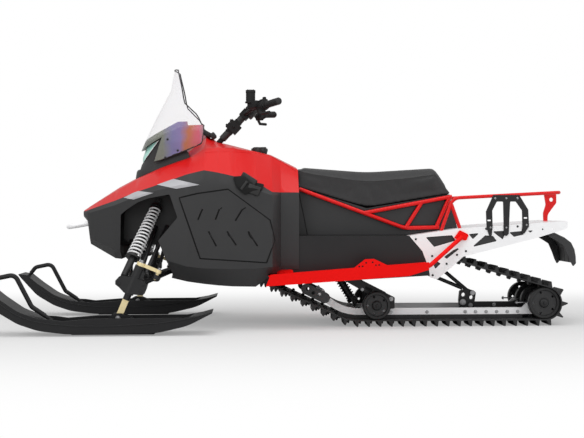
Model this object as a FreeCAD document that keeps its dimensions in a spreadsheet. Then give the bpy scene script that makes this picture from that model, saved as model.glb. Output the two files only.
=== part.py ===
import FreeCAD, Part

import math
import os

from FreeCAD import Placement, Rotation, Vector

# Snowmobile in millimetres.  +X points forward, +Y to the rider's left, +Z up.
# The origin lies on the ground, below the middle of the machine.

os.makedirs("parts", exist_ok=True)
doc = FreeCAD.newDocument("snowmobile")
sheet = doc.addObject("Spreadsheet::Sheet", "sizes")

# ---------------------------------------------------------------- driving sizes
# alias, value in millimetres or degrees, or a formula of other sizes
SIZES = [
    # track
    ("track_width", 500), ("belt_gauge", 6), ("lug_height", 31), ("lug_pitch", 64),
    ("lug_base", 26), ("lug_crest", 7), ("lug_lean", 5), ("centre_lug_half", 88),
    ("nub_height", 16), ("nub_base", 22), ("nub_inner", 92), ("nub_outer", 122),
    # skid frame and its wheels
    ("rear_axle_x", -1449), ("rear_wheel_radius", 91), ("mid_axle_x", -487), ("mid_wheel_radius", 80),
    ("carrier_x", -640), ("carrier_z", 392), ("carrier_radius", 67),
    ("drive_x", 146), ("drive_z", 353), ("sprocket_radius", 87),
    ("bend_x", -388), ("bend_radius", 300), ("rail_sweep", 57),
    ("rail_y", 150), ("rail_gauge", 12), ("rail_height", 38), ("slide_height", 21),
    ("wheel_y", 214), ("wheel_width", 34), ("wheel_clearance", 0.4), ("axle_radius", 12),
    ("inner_wheel_y", 55), ("arm_y", 172), ("arm_gauge", 8), ("arm_tube_radius", 14),
    ("front_pivot_x", -270), ("front_pivot_z", 297), ("shock_foot_x", -396), ("shock_foot_z", 92),
    # tunnel
    ("tunnel_room", 21), ("tunnel_gauge", 5), ("tunnel_top", 514), ("tunnel_front_x", 300),
    ("tunnel_half", "=track_width / 2 + tunnel_room + tunnel_gauge"),
    ("tunnel_break_x", -663), ("tunnel_end_x", -1566), ("tunnel_end_top", 596),
    ("board_width", 124), ("board_half", "=tunnel_half + board_width"),
    ("board_gauge", 6), ("board_front_x", 120), ("board_rear_x", -752),
    ("board_front_z", 306), ("board_rear_z", 372), ("board_skirt", 68), ("liner_gauge", 2),
    # seat and rack
    ("seat_half", 172), ("seat_base_half", 172), ("seat_gap", 0.4),
    ("frame_tube_radius", 11), ("rack_tube_radius", 10), ("rack_front_z", 727), ("rack_rear_z", 759),
    ("rack_rear_x", -1546), ("rack_bend", 60), ("rack_plate_gauge", 5), ("plate_hole_radius", 5),
    # body shell
    ("shell_gauge", 6), ("body_half", 404), ("nose_split_x", 905), ("panel_split_x", 90),
    ("tunnel_clear", 12),
    # windshield
    ("screen_gauge", 4),
    # steering
    ("post_lean", 43), ("post_x", 393), ("post_z", 1070), ("post_radius", 16), ("post_down", 130),
    ("post_up", 214), ("bar_radius", 11), ("bar_half", 385), ("grip_radius", 17), ("grip_length", 120),
    ("running_gap", 0.05), ("moving_gap", 5),
    # front suspension
    ("stance_half", 500), ("caster", 22.8), ("ski_bolt_x", 931), ("ski_bolt_z", 88),
    ("leg_width", 33), ("leg_depth", 26), ("leg_length", 104), ("kingpin_radius", 14),
    ("sleeve_radius", 26), ("sleeve_start", 136), ("sleeve_length", 160), ("steer_arm", 100),
    ("steer_arm_gauge", 18), ("ball_pin_radius", 8), ("tie_rod_radius", 8), ("wishbone_radius", 12),
    ("shock_radius", 19), ("spring_radius", 38), ("frame_half", 160),
    ("frame_ledge", 30),
    # skis
    ("ski_half", 92), ("ski_wall", 7), ("ski_deck_z", 42), ("keel_half", 20), ("ski_bolt_radius", 6),
    ("loop_radius", 10),
]
for row, (alias, value) in enumerate(SIZES, start=1):
    sheet.set("A%d" % row, alias)
    sheet.set("B%d" % row, str(value))
    sheet.setAlias("B%d" % row, alias)
doc.recompute()


class Sizes:
    """Reads one cell of the sheet by its alias."""

    def __getattr__(self, alias):
        return float(sheet.get(alias))


S = Sizes()
nodes = []


# ---------------------------------------------------------------- making shapes
def rounded(points):
    """Lines and arcs round a closed outline of (x, z) or (x, z, corner radius)."""
    corners = []
    count = len(points)
    for i, point in enumerate(points):
        here = Vector(point[0], point[1], 0)
        radius = point[2] if len(point) > 2 else 0
        before = Vector(points[i - 1][0], points[i - 1][1], 0)
        after = Vector(points[(i + 1) % count][0], points[(i + 1) % count][1], 0)
        if radius == 0:
            corners.append((here, None, here))
            continue
        back = (before - here).normalize()
        ahead = (after - here).normalize()
        half = back.getAngle(ahead) / 2
        reach = radius / math.tan(half)
        middle = (back + ahead).normalize()
        arc_point = here + middle * (radius / math.sin(half) - radius)
        corners.append((here + back * reach, arc_point, here + ahead * reach))
    curves = []
    for i, (start, arc_point, end) in enumerate(corners):
        if arc_point is not None:
            curves.append(Part.Arc(start, arc_point, end))
        onward = corners[(i + 1) % count][0]
        if end.distanceToPoint(onward) > 1e-6:
            curves.append(Part.LineSegment(end, onward))
    return curves


def register(obj, name):
    """Names an object as one of the machine's sub-parts."""
    obj.Label = name
    nodes.append(obj)
    return obj


def holder(name):
    body = doc.addObject("PartDesign::Body", name)
    return body


def plane_of(body, role):
    for feature in body.Origin.OriginFeatures:
        if feature.Role == role:
            return feature
    raise ValueError(role)


def side_sketch(body, name, outline, start):
    """A sketch seen from the side, in a plane across Y at the given distance."""
    sketch = body.newObject("Sketcher::SketchObject", name)
    sketch.AttachmentSupport = [(plane_of(body, "XZ_Plane"), "")]
    sketch.MapMode = "FlatFace"
    sketch.AttachmentOffset = Placement(Vector(0, 0, -start), Rotation())
    sketch.addGeometry(rounded(outline), False)
    return sketch


def side_plate(name, outline, start, depth_cell, windows=(), holes=()):
    """A plate cut to a side outline: padded from Y = start, then cut through."""
    body = holder(name)
    pad = body.newObject("PartDesign::Pad", name + "_pad")
    pad.Profile = side_sketch(body, name + "_outline", outline, start)
    pad.Reversed = True
    pad.setExpression("Length", depth_cell)
    doc.recompute()
    full = pad.Shape.Volume
    if windows or holes:
        sketch = body.newObject("Sketcher::SketchObject", name + "_windows")
        sketch.AttachmentSupport = [(plane_of(body, "XZ_Plane"), "")]
        sketch.MapMode = "FlatFace"
        for window in windows:
            sketch.addGeometry(rounded(window), False)
        for x, z, radius in holes:
            sketch.addGeometry(Part.Circle(Vector(x, z, 0), Vector(0, 0, 1), radius), False)
        pocket = body.newObject("PartDesign::Pocket", name + "_pocket")
        pocket.Profile = sketch
        pocket.Type = "ThroughAll"
        pocket.Midplane = True
        doc.recompute()
        if pocket.Shape.Volume >= full:
            raise ValueError(name + ": the windows cut nothing")
    return body


def feature(name, shape):
    obj = doc.addObject("Part::Feature", name)
    obj.Shape = shape
    return obj


def prism(outline, low, high):
    """A side outline extruded from Y = low to Y = high."""
    edges = [curve.toShape() for curve in rounded(outline)]
    wire = Part.Wire(Part.__sortEdges__(edges))
    wire.rotate(Vector(0, 0, 0), Vector(1, 0, 0), 90)
    wire.translate(Vector(0, low, 0))
    return Part.Face(wire).extrude(Vector(0, high - low, 0))


def slab(x, y, z):
    """A block between three pairs of limits."""
    return Part.makeBox(x[1] - x[0], y[1] - y[0], z[1] - z[0], Vector(x[0], y[0], z[0]))


def rod(start, end, radius):
    start = Vector(start)
    end = Vector(end)
    return Part.makeCylinder(radius, start.distanceToPoint(end), start, end - start)


def tube(points, radius, bend):
    """A round bar bent along straight runs and tangent arcs."""
    path = [Vector(p) for p in points]
    edges = []
    last = path[0]
    for before, here, after in zip(path, path[1:], path[2:]):
        back = (before - here).normalize()
        ahead = (after - here).normalize()
        half = back.getAngle(ahead) / 2
        reach = bend / math.tan(half)
        middle = (back + ahead).normalize()
        arc_point = here + middle * (bend / math.sin(half) - bend)
        start = here + back * reach
        end = here + ahead * reach
        edges.append(Part.LineSegment(last, start).toShape())
        edges.append(Part.Arc(start, arc_point, end).toShape())
        last = end
    edges.append(Part.LineSegment(last, path[-1]).toShape())
    spine = Part.Wire(edges)
    ring = Part.Wire(Part.Circle(path[0], path[1] - path[0], radius).toShape())
    return spine.makePipeShell([ring], True, False)


def mirrored(name, source):
    """The same piece on the machine's other side."""
    other = doc.addObject("Part::Mirroring", name)
    other.Source = source
    other.Normal = Vector(0, 1, 0)
    return other


def both_sides(name, source):
    """One sub-part of two like pieces, left and right."""
    pair = doc.addObject("Part::Compound", name)
    pair.Links = [source, mirrored(name + "_right", source)]
    return register(pair, name)


def fused(shapes):
    body = shapes[0].fuse(shapes[1:])
    return body.removeSplitter()


# ---------------------------------------------------------------- track
# The belt runs round four circles, all inside it: rear wheels, carrier wheels,
# drive sprockets and the rails' swept-up front.
ground_line = S.lug_height + S.belt_gauge
rear_axle_z = ground_line + S.rear_wheel_radius
bend_z = ground_line + S.bend_radius
CIRCLES = [  # x, z, radius of the belt's inner face
    (S.rear_axle_x, rear_axle_z, S.rear_wheel_radius),
    (S.carrier_x, S.carrier_z, S.carrier_radius),
    (S.drive_x, S.drive_z, S.sprocket_radius),
    (S.bend_x, bend_z, S.bend_radius),
]


def belt_runs(grow):
    """Straight runs and arcs of the belt, clockwise seen from the left."""
    circles = [(x, z, r + grow) for x, z, r in CIRCLES]
    tangents = []
    for i, (x1, z1, r1) in enumerate(circles):
        x2, z2, r2 = circles[(i + 1) % len(circles)]
        heading = math.atan2(z2 - z1, x2 - x1)
        swing = math.asin((r1 - r2) / math.hypot(x2 - x1, z2 - z1))
        normal = heading + math.pi / 2 - swing
        away = Vector(math.cos(normal), 0, math.sin(normal))
        tangents.append((Vector(x1, 0, z1) + away * r1, Vector(x2, 0, z2) + away * r2, normal))
    runs = []
    for i, (start, end, normal) in enumerate(tangents):
        runs.append(("line", start, end, normal, normal))
        x, z, radius = circles[(i + 1) % len(circles)]
        following = tangents[(i + 1) % len(tangents)]
        turn = following[2]
        while turn > normal:
            turn -= 2 * math.pi
        runs.append(("arc", Vector(x, 0, z), radius, normal, turn))
    return runs


def run_length(run):
    if run[0] == "line":
        return run[1].distanceToPoint(run[2])
    return run[2] * (run[3] - run[4])


def run_point(run, along):
    """The place and the outward angle at a distance along a run."""
    if run[0] == "line":
        step = (run[2] - run[1]).normalize()
        return run[1] + step * along, run[3]
    angle = run[3] - along / run[2]
    return run[1] + Vector(math.cos(angle), 0, math.sin(angle)) * run[2], angle


def run_edge(run, low, high):
    first, _ = run_point(run, low)
    last, _ = run_point(run, high)
    if run[0] == "line":
        return Part.LineSegment(first, last).toShape()
    middle, _ = run_point(run, (low + high) / 2)
    return Part.Arc(first, middle, last).toShape()


def belt_outline(grow, base, crest, lean, height, phase):
    """A closed belt face with a tooth at every pitch; height below zero points inwards."""
    runs = belt_runs(grow)
    total = sum(run_length(run) for run in runs)
    plain = belt_runs(0)
    count = round(sum(run_length(run) for run in plain) / S.lug_pitch)
    pitch = total / count

    def locate(distance):
        distance %= total
        for run in runs:
            if distance <= run_length(run):
                return run, distance
            distance -= run_length(run)
        return runs[-1], run_length(runs[-1])

    def stretch(low, high):
        edges = []
        start = 0.0
        for lap in range(2):
            for run in runs:
                end = start + run_length(run)
                first = max(low, start)
                last = min(high, end)
                if last - first > 1e-6:
                    edges.append(run_edge(run, first - start, last - start))
                start = end
        return edges

    edges = []
    for i in range(count):
        middle = (i + phase) * pitch
        low = middle - base / 2
        high = middle + base / 2
        start, _ = run_point(*locate(low))
        end, _ = run_point(*locate(high))
        place, angle = run_point(*locate(middle))
        out = Vector(math.cos(angle), 0, math.sin(angle))
        onward = Vector(math.sin(angle), 0, -math.cos(angle))
        top = place + out * height
        rise = top + onward * (lean - crest / 2)
        fall = top + onward * (lean + crest / 2)
        edges.append(Part.LineSegment(start, rise).toShape())
        edges.append(Part.LineSegment(rise, fall).toShape())
        edges.append(Part.LineSegment(fall, end).toShape())
        edges.extend(stretch(high, low + pitch))
    return Part.Wire(edges)


def plain_belt(grow):
    return Part.Wire([run_edge(run, 0, run_length(run)) for run in belt_runs(grow)])


def belt_band(low, high, phase, nubs):
    outer = belt_outline(S.belt_gauge, S.lug_base, S.lug_crest, S.lug_lean, S.lug_height, phase)
    if nubs:
        inner = belt_outline(0, S.nub_base, S.nub_base / 2, 0, -S.nub_height, 0.25)
    else:
        inner = plain_belt(0)
    face = Part.Face(outer).cut(Part.Face(inner))
    band = face.extrude(Vector(0, high - low, 0))
    band.translate(Vector(0, low, 0))
    return band


half_track = S.track_width / 2
BANDS = [  # from y, to y, lug phase, drive nubs inside
    (-half_track, -S.nub_outer, 0.0, False),
    (-S.nub_outer, -S.nub_inner, 0.0, True),
    (-S.nub_inner, S.nub_inner, 0.5, False),
    (S.nub_inner, S.nub_outer, 0.0, True),
    (S.nub_outer, half_track, 0.0, False),
]
track_shape = fused([belt_band(*band) for band in BANDS])
track = register(feature("track", track_shape), "track")


# ---------------------------------------------------------------- rails and slide shoes
def arc(x, z, radius, low, high):
    """A side-view arc about (x, z); angles in degrees from straight down."""
    points = []
    for angle in (low, (low + high) / 2, high):
        turn = math.radians(angle)
        points.append(Vector(x + radius * math.sin(turn), z - radius * math.cos(turn), 0))
    return Part.Arc(*points)


def chain(points):
    return [Part.LineSegment(Vector(*a, 0), Vector(*b, 0)) for a, b in zip(points, points[1:])]


def swept_bar(lower, upper, sweep, tail):
    """A bar along the track: straight behind the bend, curved ahead of it."""
    low_arc = arc(S.bend_x, bend_z, bend_z - lower, 0, sweep)
    high_arc = arc(S.bend_x, bend_z, bend_z - upper, sweep, 0)
    curves = [low_arc]
    curves += chain([(low_arc.EndPoint.x, low_arc.EndPoint.y), (high_arc.StartPoint.x, high_arc.StartPoint.y)])
    curves += [high_arc]
    curves += chain([(S.bend_x, upper)] + tail + [(S.bend_x, lower)])
    return curves


def curve_plate(name, curves, start, depth_cell):
    body = holder(name)
    sketch = body.newObject("Sketcher::SketchObject", name + "_outline")
    sketch.AttachmentSupport = [(plane_of(body, "XZ_Plane"), "")]
    sketch.MapMode = "FlatFace"
    sketch.AttachmentOffset = Placement(Vector(0, 0, -start), Rotation())
    sketch.addGeometry(curves, False)
    pad = body.newObject("PartDesign::Pad", name + "_pad")
    pad.Profile = sketch
    pad.Reversed = True
    pad.setExpression("Length", depth_cell)
    doc.recompute()
    return body


slide_low = ground_line + S.wheel_clearance
rail_low = slide_low + S.slide_height
rail_high = rail_low + S.rail_height
axle_eye = S.axle_radius + 14
rail_tail = [
    (S.rear_axle_x + 110, rail_high),
    (S.rear_axle_x + 45, rear_axle_z + axle_eye),
    (S.rear_axle_x - 20, rear_axle_z + axle_eye),
    (S.rear_axle_x - 36, rear_axle_z),
    (S.rear_axle_x - 24, rail_low),
]
rail = curve_plate("rail", swept_bar(rail_low, rail_high, S.rail_sweep, rail_tail),
                   S.rail_y - S.rail_gauge / 2, "sizes.rail_gauge")
rail_bore = doc.addObject("Part::Cylinder", "rail_bore")
rail_bore.setExpression("Radius", "sizes.axle_radius")
rail_bore.Height = 2 * S.track_width
rail_bore.Placement = Placement(Vector(S.rear_axle_x, S.track_width, rear_axle_z), Rotation(Vector(1, 0, 0), 90))
bored_rail = doc.addObject("Part::Cut", "bored_rail")
bored_rail.Base = rail
bored_rail.Tool = rail_bore
both_sides("skid_rails", bored_rail)
slide_tail = [(S.rear_axle_x + 110, rail_low), (S.rear_axle_x + 110, slide_low)]
slide = curve_plate("slide", swept_bar(slide_low, rail_low, 24, slide_tail),
                    S.rail_y - S.rail_gauge, "2 * sizes.rail_gauge")
both_sides("slide_shoes", slide)


# ---------------------------------------------------------------- wheels and axles
def wheel(name, x, y, z, radius, width, windows):
    """A rubber-rimmed idler: a thin web between hub and rim, with round windows."""
    body = holder(name)
    hub = S.axle_radius + 12
    rim = radius - 16
    web = width / 6
    half = width / 2
    profile = [(S.axle_radius, -half), (hub, -half), (hub + 5, -web), (rim - 5, -web), (rim, -half),
               (radius - 4, -half), (radius, -half + 4), (radius, half - 4), (radius - 4, half),
               (rim, half), (rim - 5, web), (hub + 5, web), (hub, half), (S.axle_radius, half)]
    sketch = body.newObject("Sketcher::SketchObject", name + "_profile")
    sketch.AttachmentSupport = [(plane_of(body, "XY_Plane"), "")]
    sketch.MapMode = "FlatFace"
    sketch.addGeometry(rounded(profile), False)
    turned = body.newObject("PartDesign::Revolution", name + "_turned")
    turned.Profile = sketch
    turned.ReferenceAxis = (sketch, ["V_Axis"])
    turned.Angle = 360
    doc.recompute()
    hole = body.newObject("Sketcher::SketchObject", name + "_window")
    hole.AttachmentSupport = [(plane_of(body, "XZ_Plane"), "")]
    hole.MapMode = "FlatFace"
    hole.addGeometry(Part.Circle(Vector(rim - 13, 0, 0), Vector(0, 0, 1), 7), False)
    pocket = body.newObject("PartDesign::Pocket", name + "_pocket")
    pocket.Profile = hole
    pocket.Type = "ThroughAll"
    pocket.Midplane = True
    doc.recompute()
    ring = body.newObject("PartDesign::PolarPattern", name + "_ring")
    ring.Originals = [pocket]
    ring.Axis = (plane_of(body, "Y_Axis"), [""])
    ring.Occurrences = windows
    body.Tip = ring
    body.Placement = Placement(Vector(x, y, z), Rotation())
    doc.recompute()
    return body


def cross_shaft(name, x, z, half, radius_cell):
    shaft = doc.addObject("Part::Cylinder", name)
    shaft.setExpression("Radius", radius_cell)
    shaft.Height = 2 * half
    shaft.Placement = Placement(Vector(x, half, z), Rotation(Vector(1, 0, 0), 90))
    return shaft


def joined(name, parts):
    union = doc.addObject("Part::MultiFuse", name)
    union.Shapes = parts
    union.Refine = True
    return union


outer_wheel = S.wheel_y + S.wheel_width / 2
rear_parts = [cross_shaft("rear_axle", S.rear_axle_x, rear_axle_z, outer_wheel + 4, "sizes.axle_radius")]
for side in (-1, 1):
    for lane in (S.wheel_y, S.inner_wheel_y):
        rear_parts.append(wheel("rear_wheel", S.rear_axle_x, side * lane, rear_axle_z,
                                S.rear_wheel_radius - S.wheel_clearance, S.wheel_width, 5))
register(joined("rear_wheels", rear_parts), "rear_wheels")
mid_axle_z = ground_line + S.mid_wheel_radius
mid_parts = [cross_shaft("mid_axle", S.mid_axle_x, mid_axle_z, outer_wheel + 4, "sizes.axle_radius")]
for side in (-1, 1):
    mid_parts.append(wheel("mid_wheel", S.mid_axle_x, side * S.wheel_y, mid_axle_z,
                           S.mid_wheel_radius - S.wheel_clearance, S.wheel_width, 5))
register(joined("mid_wheels", mid_parts), "mid_wheels")
inner_half = S.tunnel_half - S.tunnel_gauge
carrier_parts = [cross_shaft("carrier_shaft", S.carrier_x, S.carrier_z, inner_half, "sizes.axle_radius")]
for side in (-1, 1):
    carrier_parts.append(wheel("carrier_wheel", S.carrier_x, side * S.wheel_y, S.carrier_z,
                               S.carrier_radius - S.wheel_clearance, S.wheel_width, 3))
register(joined("carrier_wheels", carrier_parts), "carrier_wheels")
drive_parts = [cross_shaft("drive_shaft", S.drive_x, S.drive_z, inner_half, "1.4 * sizes.axle_radius")]
for side in (-1, 1):
    for lane in (S.nub_outer + 22, S.nub_inner - 22):
        drive_parts.append(wheel("sprocket", S.drive_x, side * lane, S.drive_z,
                                 S.sprocket_radius - S.wheel_clearance, S.wheel_width, 3))
register(joined("drive_axle", drive_parts), "drive_axle")

# ---------------------------------------------------------------- skid arms and shock
front_arm_outline = [
    (S.front_pivot_x - 10, S.front_pivot_z + 24), (S.front_pivot_x + 22, S.front_pivot_z + 6),
    (S.front_pivot_x - 4, S.front_pivot_z - 22), (S.mid_axle_x + 40, mid_axle_z + 60),
    (S.mid_axle_x + 30, mid_axle_z - 24), (S.mid_axle_x - 108, mid_axle_z - 22, 8),
    (S.mid_axle_x - 110, mid_axle_z + 42, 10),
]
front_arm_plate = side_plate(
    "front_arm_plate", front_arm_outline, S.arm_y - S.arm_gauge / 2, "sizes.arm_gauge",
    windows=[[(S.mid_axle_x + 20, mid_axle_z + 66, 6), (S.mid_axle_x + 95, mid_axle_z + 118, 6),
              (S.mid_axle_x + 12, mid_axle_z + 90, 6)]],
    holes=[(S.mid_axle_x, mid_axle_z, S.axle_radius)])
front_arm_parts = [front_arm_plate, mirrored("front_arm_plate_right", front_arm_plate)]
front_arm_parts.append(cross_shaft("front_pivot", S.front_pivot_x, S.front_pivot_z, inner_half,
                                   "sizes.arm_tube_radius"))
register(joined("skid_front_arm", front_arm_parts), "skid_front_arm")

shock_top = Vector(S.front_pivot_x, 0, S.front_pivot_z)
shock_foot = Vector(S.shock_foot_x, 0, S.shock_foot_z)
shock_line = (shock_top - shock_foot).normalize()


def coil(start, end, radius, wire, turns, bore=0.0, top=None):
    """A coil spring's outer form: a sleeve with a ridge for each turn, turned about its line."""
    length = start.distanceToPoint(end)
    shrink = 0 if top is None else (radius - top) / length
    corners = [Vector(bore, 0, 0), Vector(radius - wire + 1, 0, 0)]
    for i in range(turns):
        middle = length * (i + 0.5) / turns
        crest = radius - shrink * middle
        root = crest - wire + 1
        for across, along in ((root, -wire / 2), (crest, -wire / 5), (crest, wire / 5), (root, wire / 2)):
            corners.append(Vector(across, 0, middle + along))
    corners += [Vector(root, 0, length), Vector(bore, 0, length), Vector(bore, 0, 0)]
    ridges = Part.Face(Part.makePolygon(corners)).revolve(Vector(), Vector(0, 0, 1), 360)
    ridges.Placement = Placement(start, Rotation(Vector(0, 0, 1), end - start))
    return ridges


rail_inner = S.rail_y - S.rail_gauge / 2
skid_shock_shape = fused([
    rod(shock_foot, shock_top, 9),
    rod(shock_foot + shock_line * 40, shock_foot + shock_line * 60, 30),
    coil(shock_foot + shock_line * 60, shock_top - shock_line * 45, 29, 9, 8),
    rod(shock_top - shock_line * 45, shock_top - shock_line * 30, 30),
    rod(Vector(S.shock_foot_x, -rail_inner, S.shock_foot_z), Vector(S.shock_foot_x, rail_inner, S.shock_foot_z), 10),
])
skid_shock_shape = skid_shock_shape.cut(
    rod(Vector(S.front_pivot_x, -40, S.front_pivot_z), Vector(S.front_pivot_x, 40, S.front_pivot_z),
        S.arm_tube_radius))
register(feature("skid_shock", skid_shock_shape), "skid_shock")

# The rear arm lies in the middle: two struts down to a block between the rails,
# and a beam from the block to the rear axle.
rear_top_low = Vector(-800, 0, 291)
rear_top_high = Vector(-866, 0, 342)
block_half = 12
rear_block = prism([(-1009, 182, 10), (-1003, 124, 10), (-1012, 64, 8), (-1090, 64, 8), (-1106, 174, 12),
                    (-1058, 195, 12)], -block_half, block_half)
for x, z in ((-1031, 158), (-1078, 142)):
    rear_block = rear_block.cut(rod(Vector(x, -block_half - 2, z), Vector(x, block_half + 2, z), 12))
rear_beam = prism([(-1080, 117), (-1317, 117, 20), (-1400, 148, 20), (-1472, 148, 20), (-1472, 112, 20),
                   (-1400, 86, 20), (-1080, 86)], -block_half, block_half)
rear_beam = rear_beam.cut(rod(Vector(S.rear_axle_x, -30, rear_axle_z), Vector(S.rear_axle_x, 30, rear_axle_z),
                              S.axle_radius))
rear_arm_shapes = [
    rear_block, rear_beam,
    rod(rear_top_low, Vector(-1026, 0, 196), 11),
    rod(rear_top_high, Vector(-1052, 0, 186), 11),
    rod(Vector(-1050, -rail_inner, 80), Vector(-1050, rail_inner, 80), 11),
]
for top in (rear_top_low, rear_top_high):
    rear_arm_shapes.append(rod(top - Vector(0, inner_half, 0), top + Vector(0, inner_half, 0), 12))
register(feature("skid_rear_arm", fused(rear_arm_shapes)), "skid_rear_arm")

# ---------------------------------------------------------------- tunnel
tunnel_line = [  # side view of the tunnel's top, front to rear: x, z
    (S.tunnel_front_x, 318), (S.tunnel_front_x, 420), (S.tunnel_front_x - 60, S.tunnel_top),
    (S.tunnel_break_x, S.tunnel_top), (-930, 554), (-1399, 586), (S.tunnel_end_x, S.tunnel_end_top),
]


def lowered(points, gap):
    """The same polyline moved square to itself, towards its right-hand side."""
    moved = []
    count = len(points)
    for i, (x, z) in enumerate(points):
        normals = []
        if i > 0:
            dx, dz = x - points[i - 1][0], z - points[i - 1][1]
            size = math.hypot(dx, dz)
            normals.append((dz / size, -dx / size))
        if i < count - 1:
            dx, dz = points[i + 1][0] - x, points[i + 1][1] - z
            size = math.hypot(dx, dz)
            normals.append((dz / size, -dx / size))
        nx = sum(n[0] for n in normals) / len(normals)
        nz = sum(n[1] for n in normals) / len(normals)
        scale = gap / (nx * nx + nz * nz)
        moved.append((x + nx * scale, z + nz * scale))
    return moved


tunnel_sheet = tunnel_line + lowered(tunnel_line, -S.tunnel_gauge)[::-1]
tunnel_top_plate = side_plate("tunnel_top", tunnel_sheet, -inner_half,
                              "2 * (sizes.tunnel_half - sizes.tunnel_gauge)")
register(tunnel_top_plate, "tunnel_top")
side_rear_edge = [(S.tunnel_break_x, S.tunnel_top), (-737, 428), (-772, 336), (-780, 290)]
board_slope = (S.board_rear_z - S.board_front_z) / (S.board_rear_x - S.board_front_x)


def board_z(x):
    """Height of the running board's upper edge."""
    return S.board_front_z + board_slope * (x - S.board_front_x)


side_outline = [(S.tunnel_front_x, 300), (S.tunnel_front_x, 420), (S.tunnel_front_x - 60, S.tunnel_top)]
side_outline += side_rear_edge
side_outline += [(S.board_front_x, board_z(S.board_front_x) - S.board_skirt)]
tunnel_side = side_plate("tunnel_side", side_outline, inner_half, "sizes.tunnel_gauge")
both_sides("tunnel_sides", tunnel_side)

rear_plate_outline = [
    (S.tunnel_break_x, S.tunnel_top), (-930, 554), (-1399, 586), (S.tunnel_end_x - 2, S.tunnel_end_top, 14),
    (S.tunnel_end_x - 4, 556, 22), (-1412, 507), (-970, 396), (-903, 336), (-820, 268, 14), (-780, 280, 10),
    (-772, 336), (-737, 428),
]
rear_windows = [
    [(-756, 506, 4), (-906, 517, 6), (-926, 486, 4), (-804, 451, 6)],
    [(-1000, 523, 3), (-1062, 529, 4), (-1025, 494, 4)],
    [(-1018, 449, 4), (-1095, 516, 5), (-1140, 512, 5), (-1162, 483, 4)],
    [(-1135, 538, 4), (-1219, 542, 4), (-1195, 492, 4)],
    [(-1231, 533, 4), (-1304, 540, 4), (-1317, 520, 4), (-1259, 507, 4)],
    [(-1337, 542, 2), (-1370, 544, 2), (-1353, 530, 2)],
    [(-859, 394, 4), (-914, 434, 5), (-939, 444, 4), (-945, 438, 3), (-877, 384, 4)],
    [(-796, 358, 4), (-818, 373, 4), (-842, 357, 4), (-811, 327, 4)],
]
hitch_row_z = 550
rear_holes = [(-1424, hitch_row_z, S.plate_hole_radius), (-1481, hitch_row_z, S.plate_hole_radius),
              (-796, 292, 4), (-793, 400, 4), (-934, 406, 4), (-985, 427, 4), (-875, 356, 4)]
rear_plate = side_plate("rear_plate", rear_plate_outline, inner_half, "sizes.tunnel_gauge",
                        windows=rear_windows, holes=rear_holes)
flush_plate = doc.addObject("Part::Cut", "flush_plate")
flush_plate.Base = rear_plate
flush_plate.Tool = tunnel_side
both_sides("rear_plates", flush_plate)
liner_outline = [(-752, 510), (-928, 546), (-1392, 578), (-1396, 528), (-1160, 466), (-976, 408), (-910, 352),
                 (-830, 312), (-784, 318), (-778, 340), (-746, 424)]
liner = side_plate("tunnel_liner", liner_outline, inner_half - S.liner_gauge, "sizes.liner_gauge",
                   holes=[(rear_top_high.x, rear_top_high.z, 12.2)])
both_sides("tunnel_liners", liner)


# ---------------------------------------------------------------- running boards
board_gusset = [(80, board_z(80) - 9), (84, board_z(80) + 66), (-8, board_z(-8) + 6), (-10, board_z(-10) - 9)]
skirt_outline = [
    (S.board_front_x + 26, board_z(S.board_front_x) - S.board_skirt + 4),
    (S.board_front_x, board_z(S.board_front_x)),
    (-336, board_z(-336)), (-398, board_z(-398) + 44, 8), (-448, board_z(-448) + 42, 8), (-524, board_z(-524)),
    (S.board_rear_x, S.board_rear_z), (S.board_rear_x, S.board_rear_z - 42),
    (-640, board_z(-640) - S.board_skirt, 30),
]
skirt_holes = [(x, board_z(x) + rise, 5) for x, rise in ((-366, 6), (-384, 6), (-404, 24), (-440, 24),
                                                         (-458, 6), (-476, 6))]
board_skirt = side_plate("board_skirt", skirt_outline, S.board_half - S.board_gauge, "sizes.board_gauge",
                         holes=skirt_holes)
deck_low = S.board_front_x + 10
deck_outline = [(deck_low, board_z(deck_low) - 6), (deck_low, board_z(deck_low) - 6 - S.board_gauge),
                (S.board_rear_x, S.board_rear_z - 6 - S.board_gauge), (S.board_rear_x, S.board_rear_z - 6)]
board_deck = prism(deck_outline, S.tunnel_half, S.board_half - S.board_gauge)
for row in range(2):
    for i in range(7):
        x = S.board_front_x - 100 - i * 108
        y = S.tunnel_half + 34 + row * 48
        board_deck = board_deck.cut(Part.makeCylinder(15, 60, Vector(x, y, board_z(x) - 40)))
gusset = prism(board_gusset, S.tunnel_half, S.tunnel_half + S.board_gauge)
tube_y = S.board_half - S.board_gauge - 8
brace = tube([(-700, tube_y, S.board_rear_z - 36), (S.board_rear_x - 4, tube_y, S.board_rear_z - 22),
              (-958, S.tunnel_half + 12, 506)], 12, 60)
foot = prism([(-916, 500), (-948, 546, 8), (-1000, 520, 10), (-985, 486, 10)],
             S.tunnel_half, S.tunnel_half + 8)
board_shape = fused([board_skirt.Shape, board_deck, gusset, brace, foot])
running_board = feature("running_board", board_shape)
both_sides("running_boards", running_board)

# ---------------------------------------------------------------- seat, its base and frame tubes
hood_rear_x = -42
seat_front_x = hood_rear_x - S.seat_gap
seat_outline = [
    (seat_front_x, 903, 12), (-446, 874, 400), (-846, 898, 26), (-934, 764, 12), (-920, 751), (-437, 669, 30),
    (seat_front_x, 788),
]
seat_block = side_plate("seat_block", seat_outline, -S.seat_half, "2 * sizes.seat_half")
register(seat_block, "seat")
base_top = [(seat_front_x, 788 - S.seat_gap), (-437, 669 - S.seat_gap), (-914, 749 - S.seat_gap)]
seat_base_outline = base_top + [(-958, 556.2), (-930, 554), (S.tunnel_break_x, S.tunnel_top),
                                (seat_front_x, S.tunnel_top)]
seat_base = side_plate("seat_base", seat_base_outline, -S.seat_base_half, "2 * sizes.seat_base_half")
register(seat_base, "seat_base")

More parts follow.
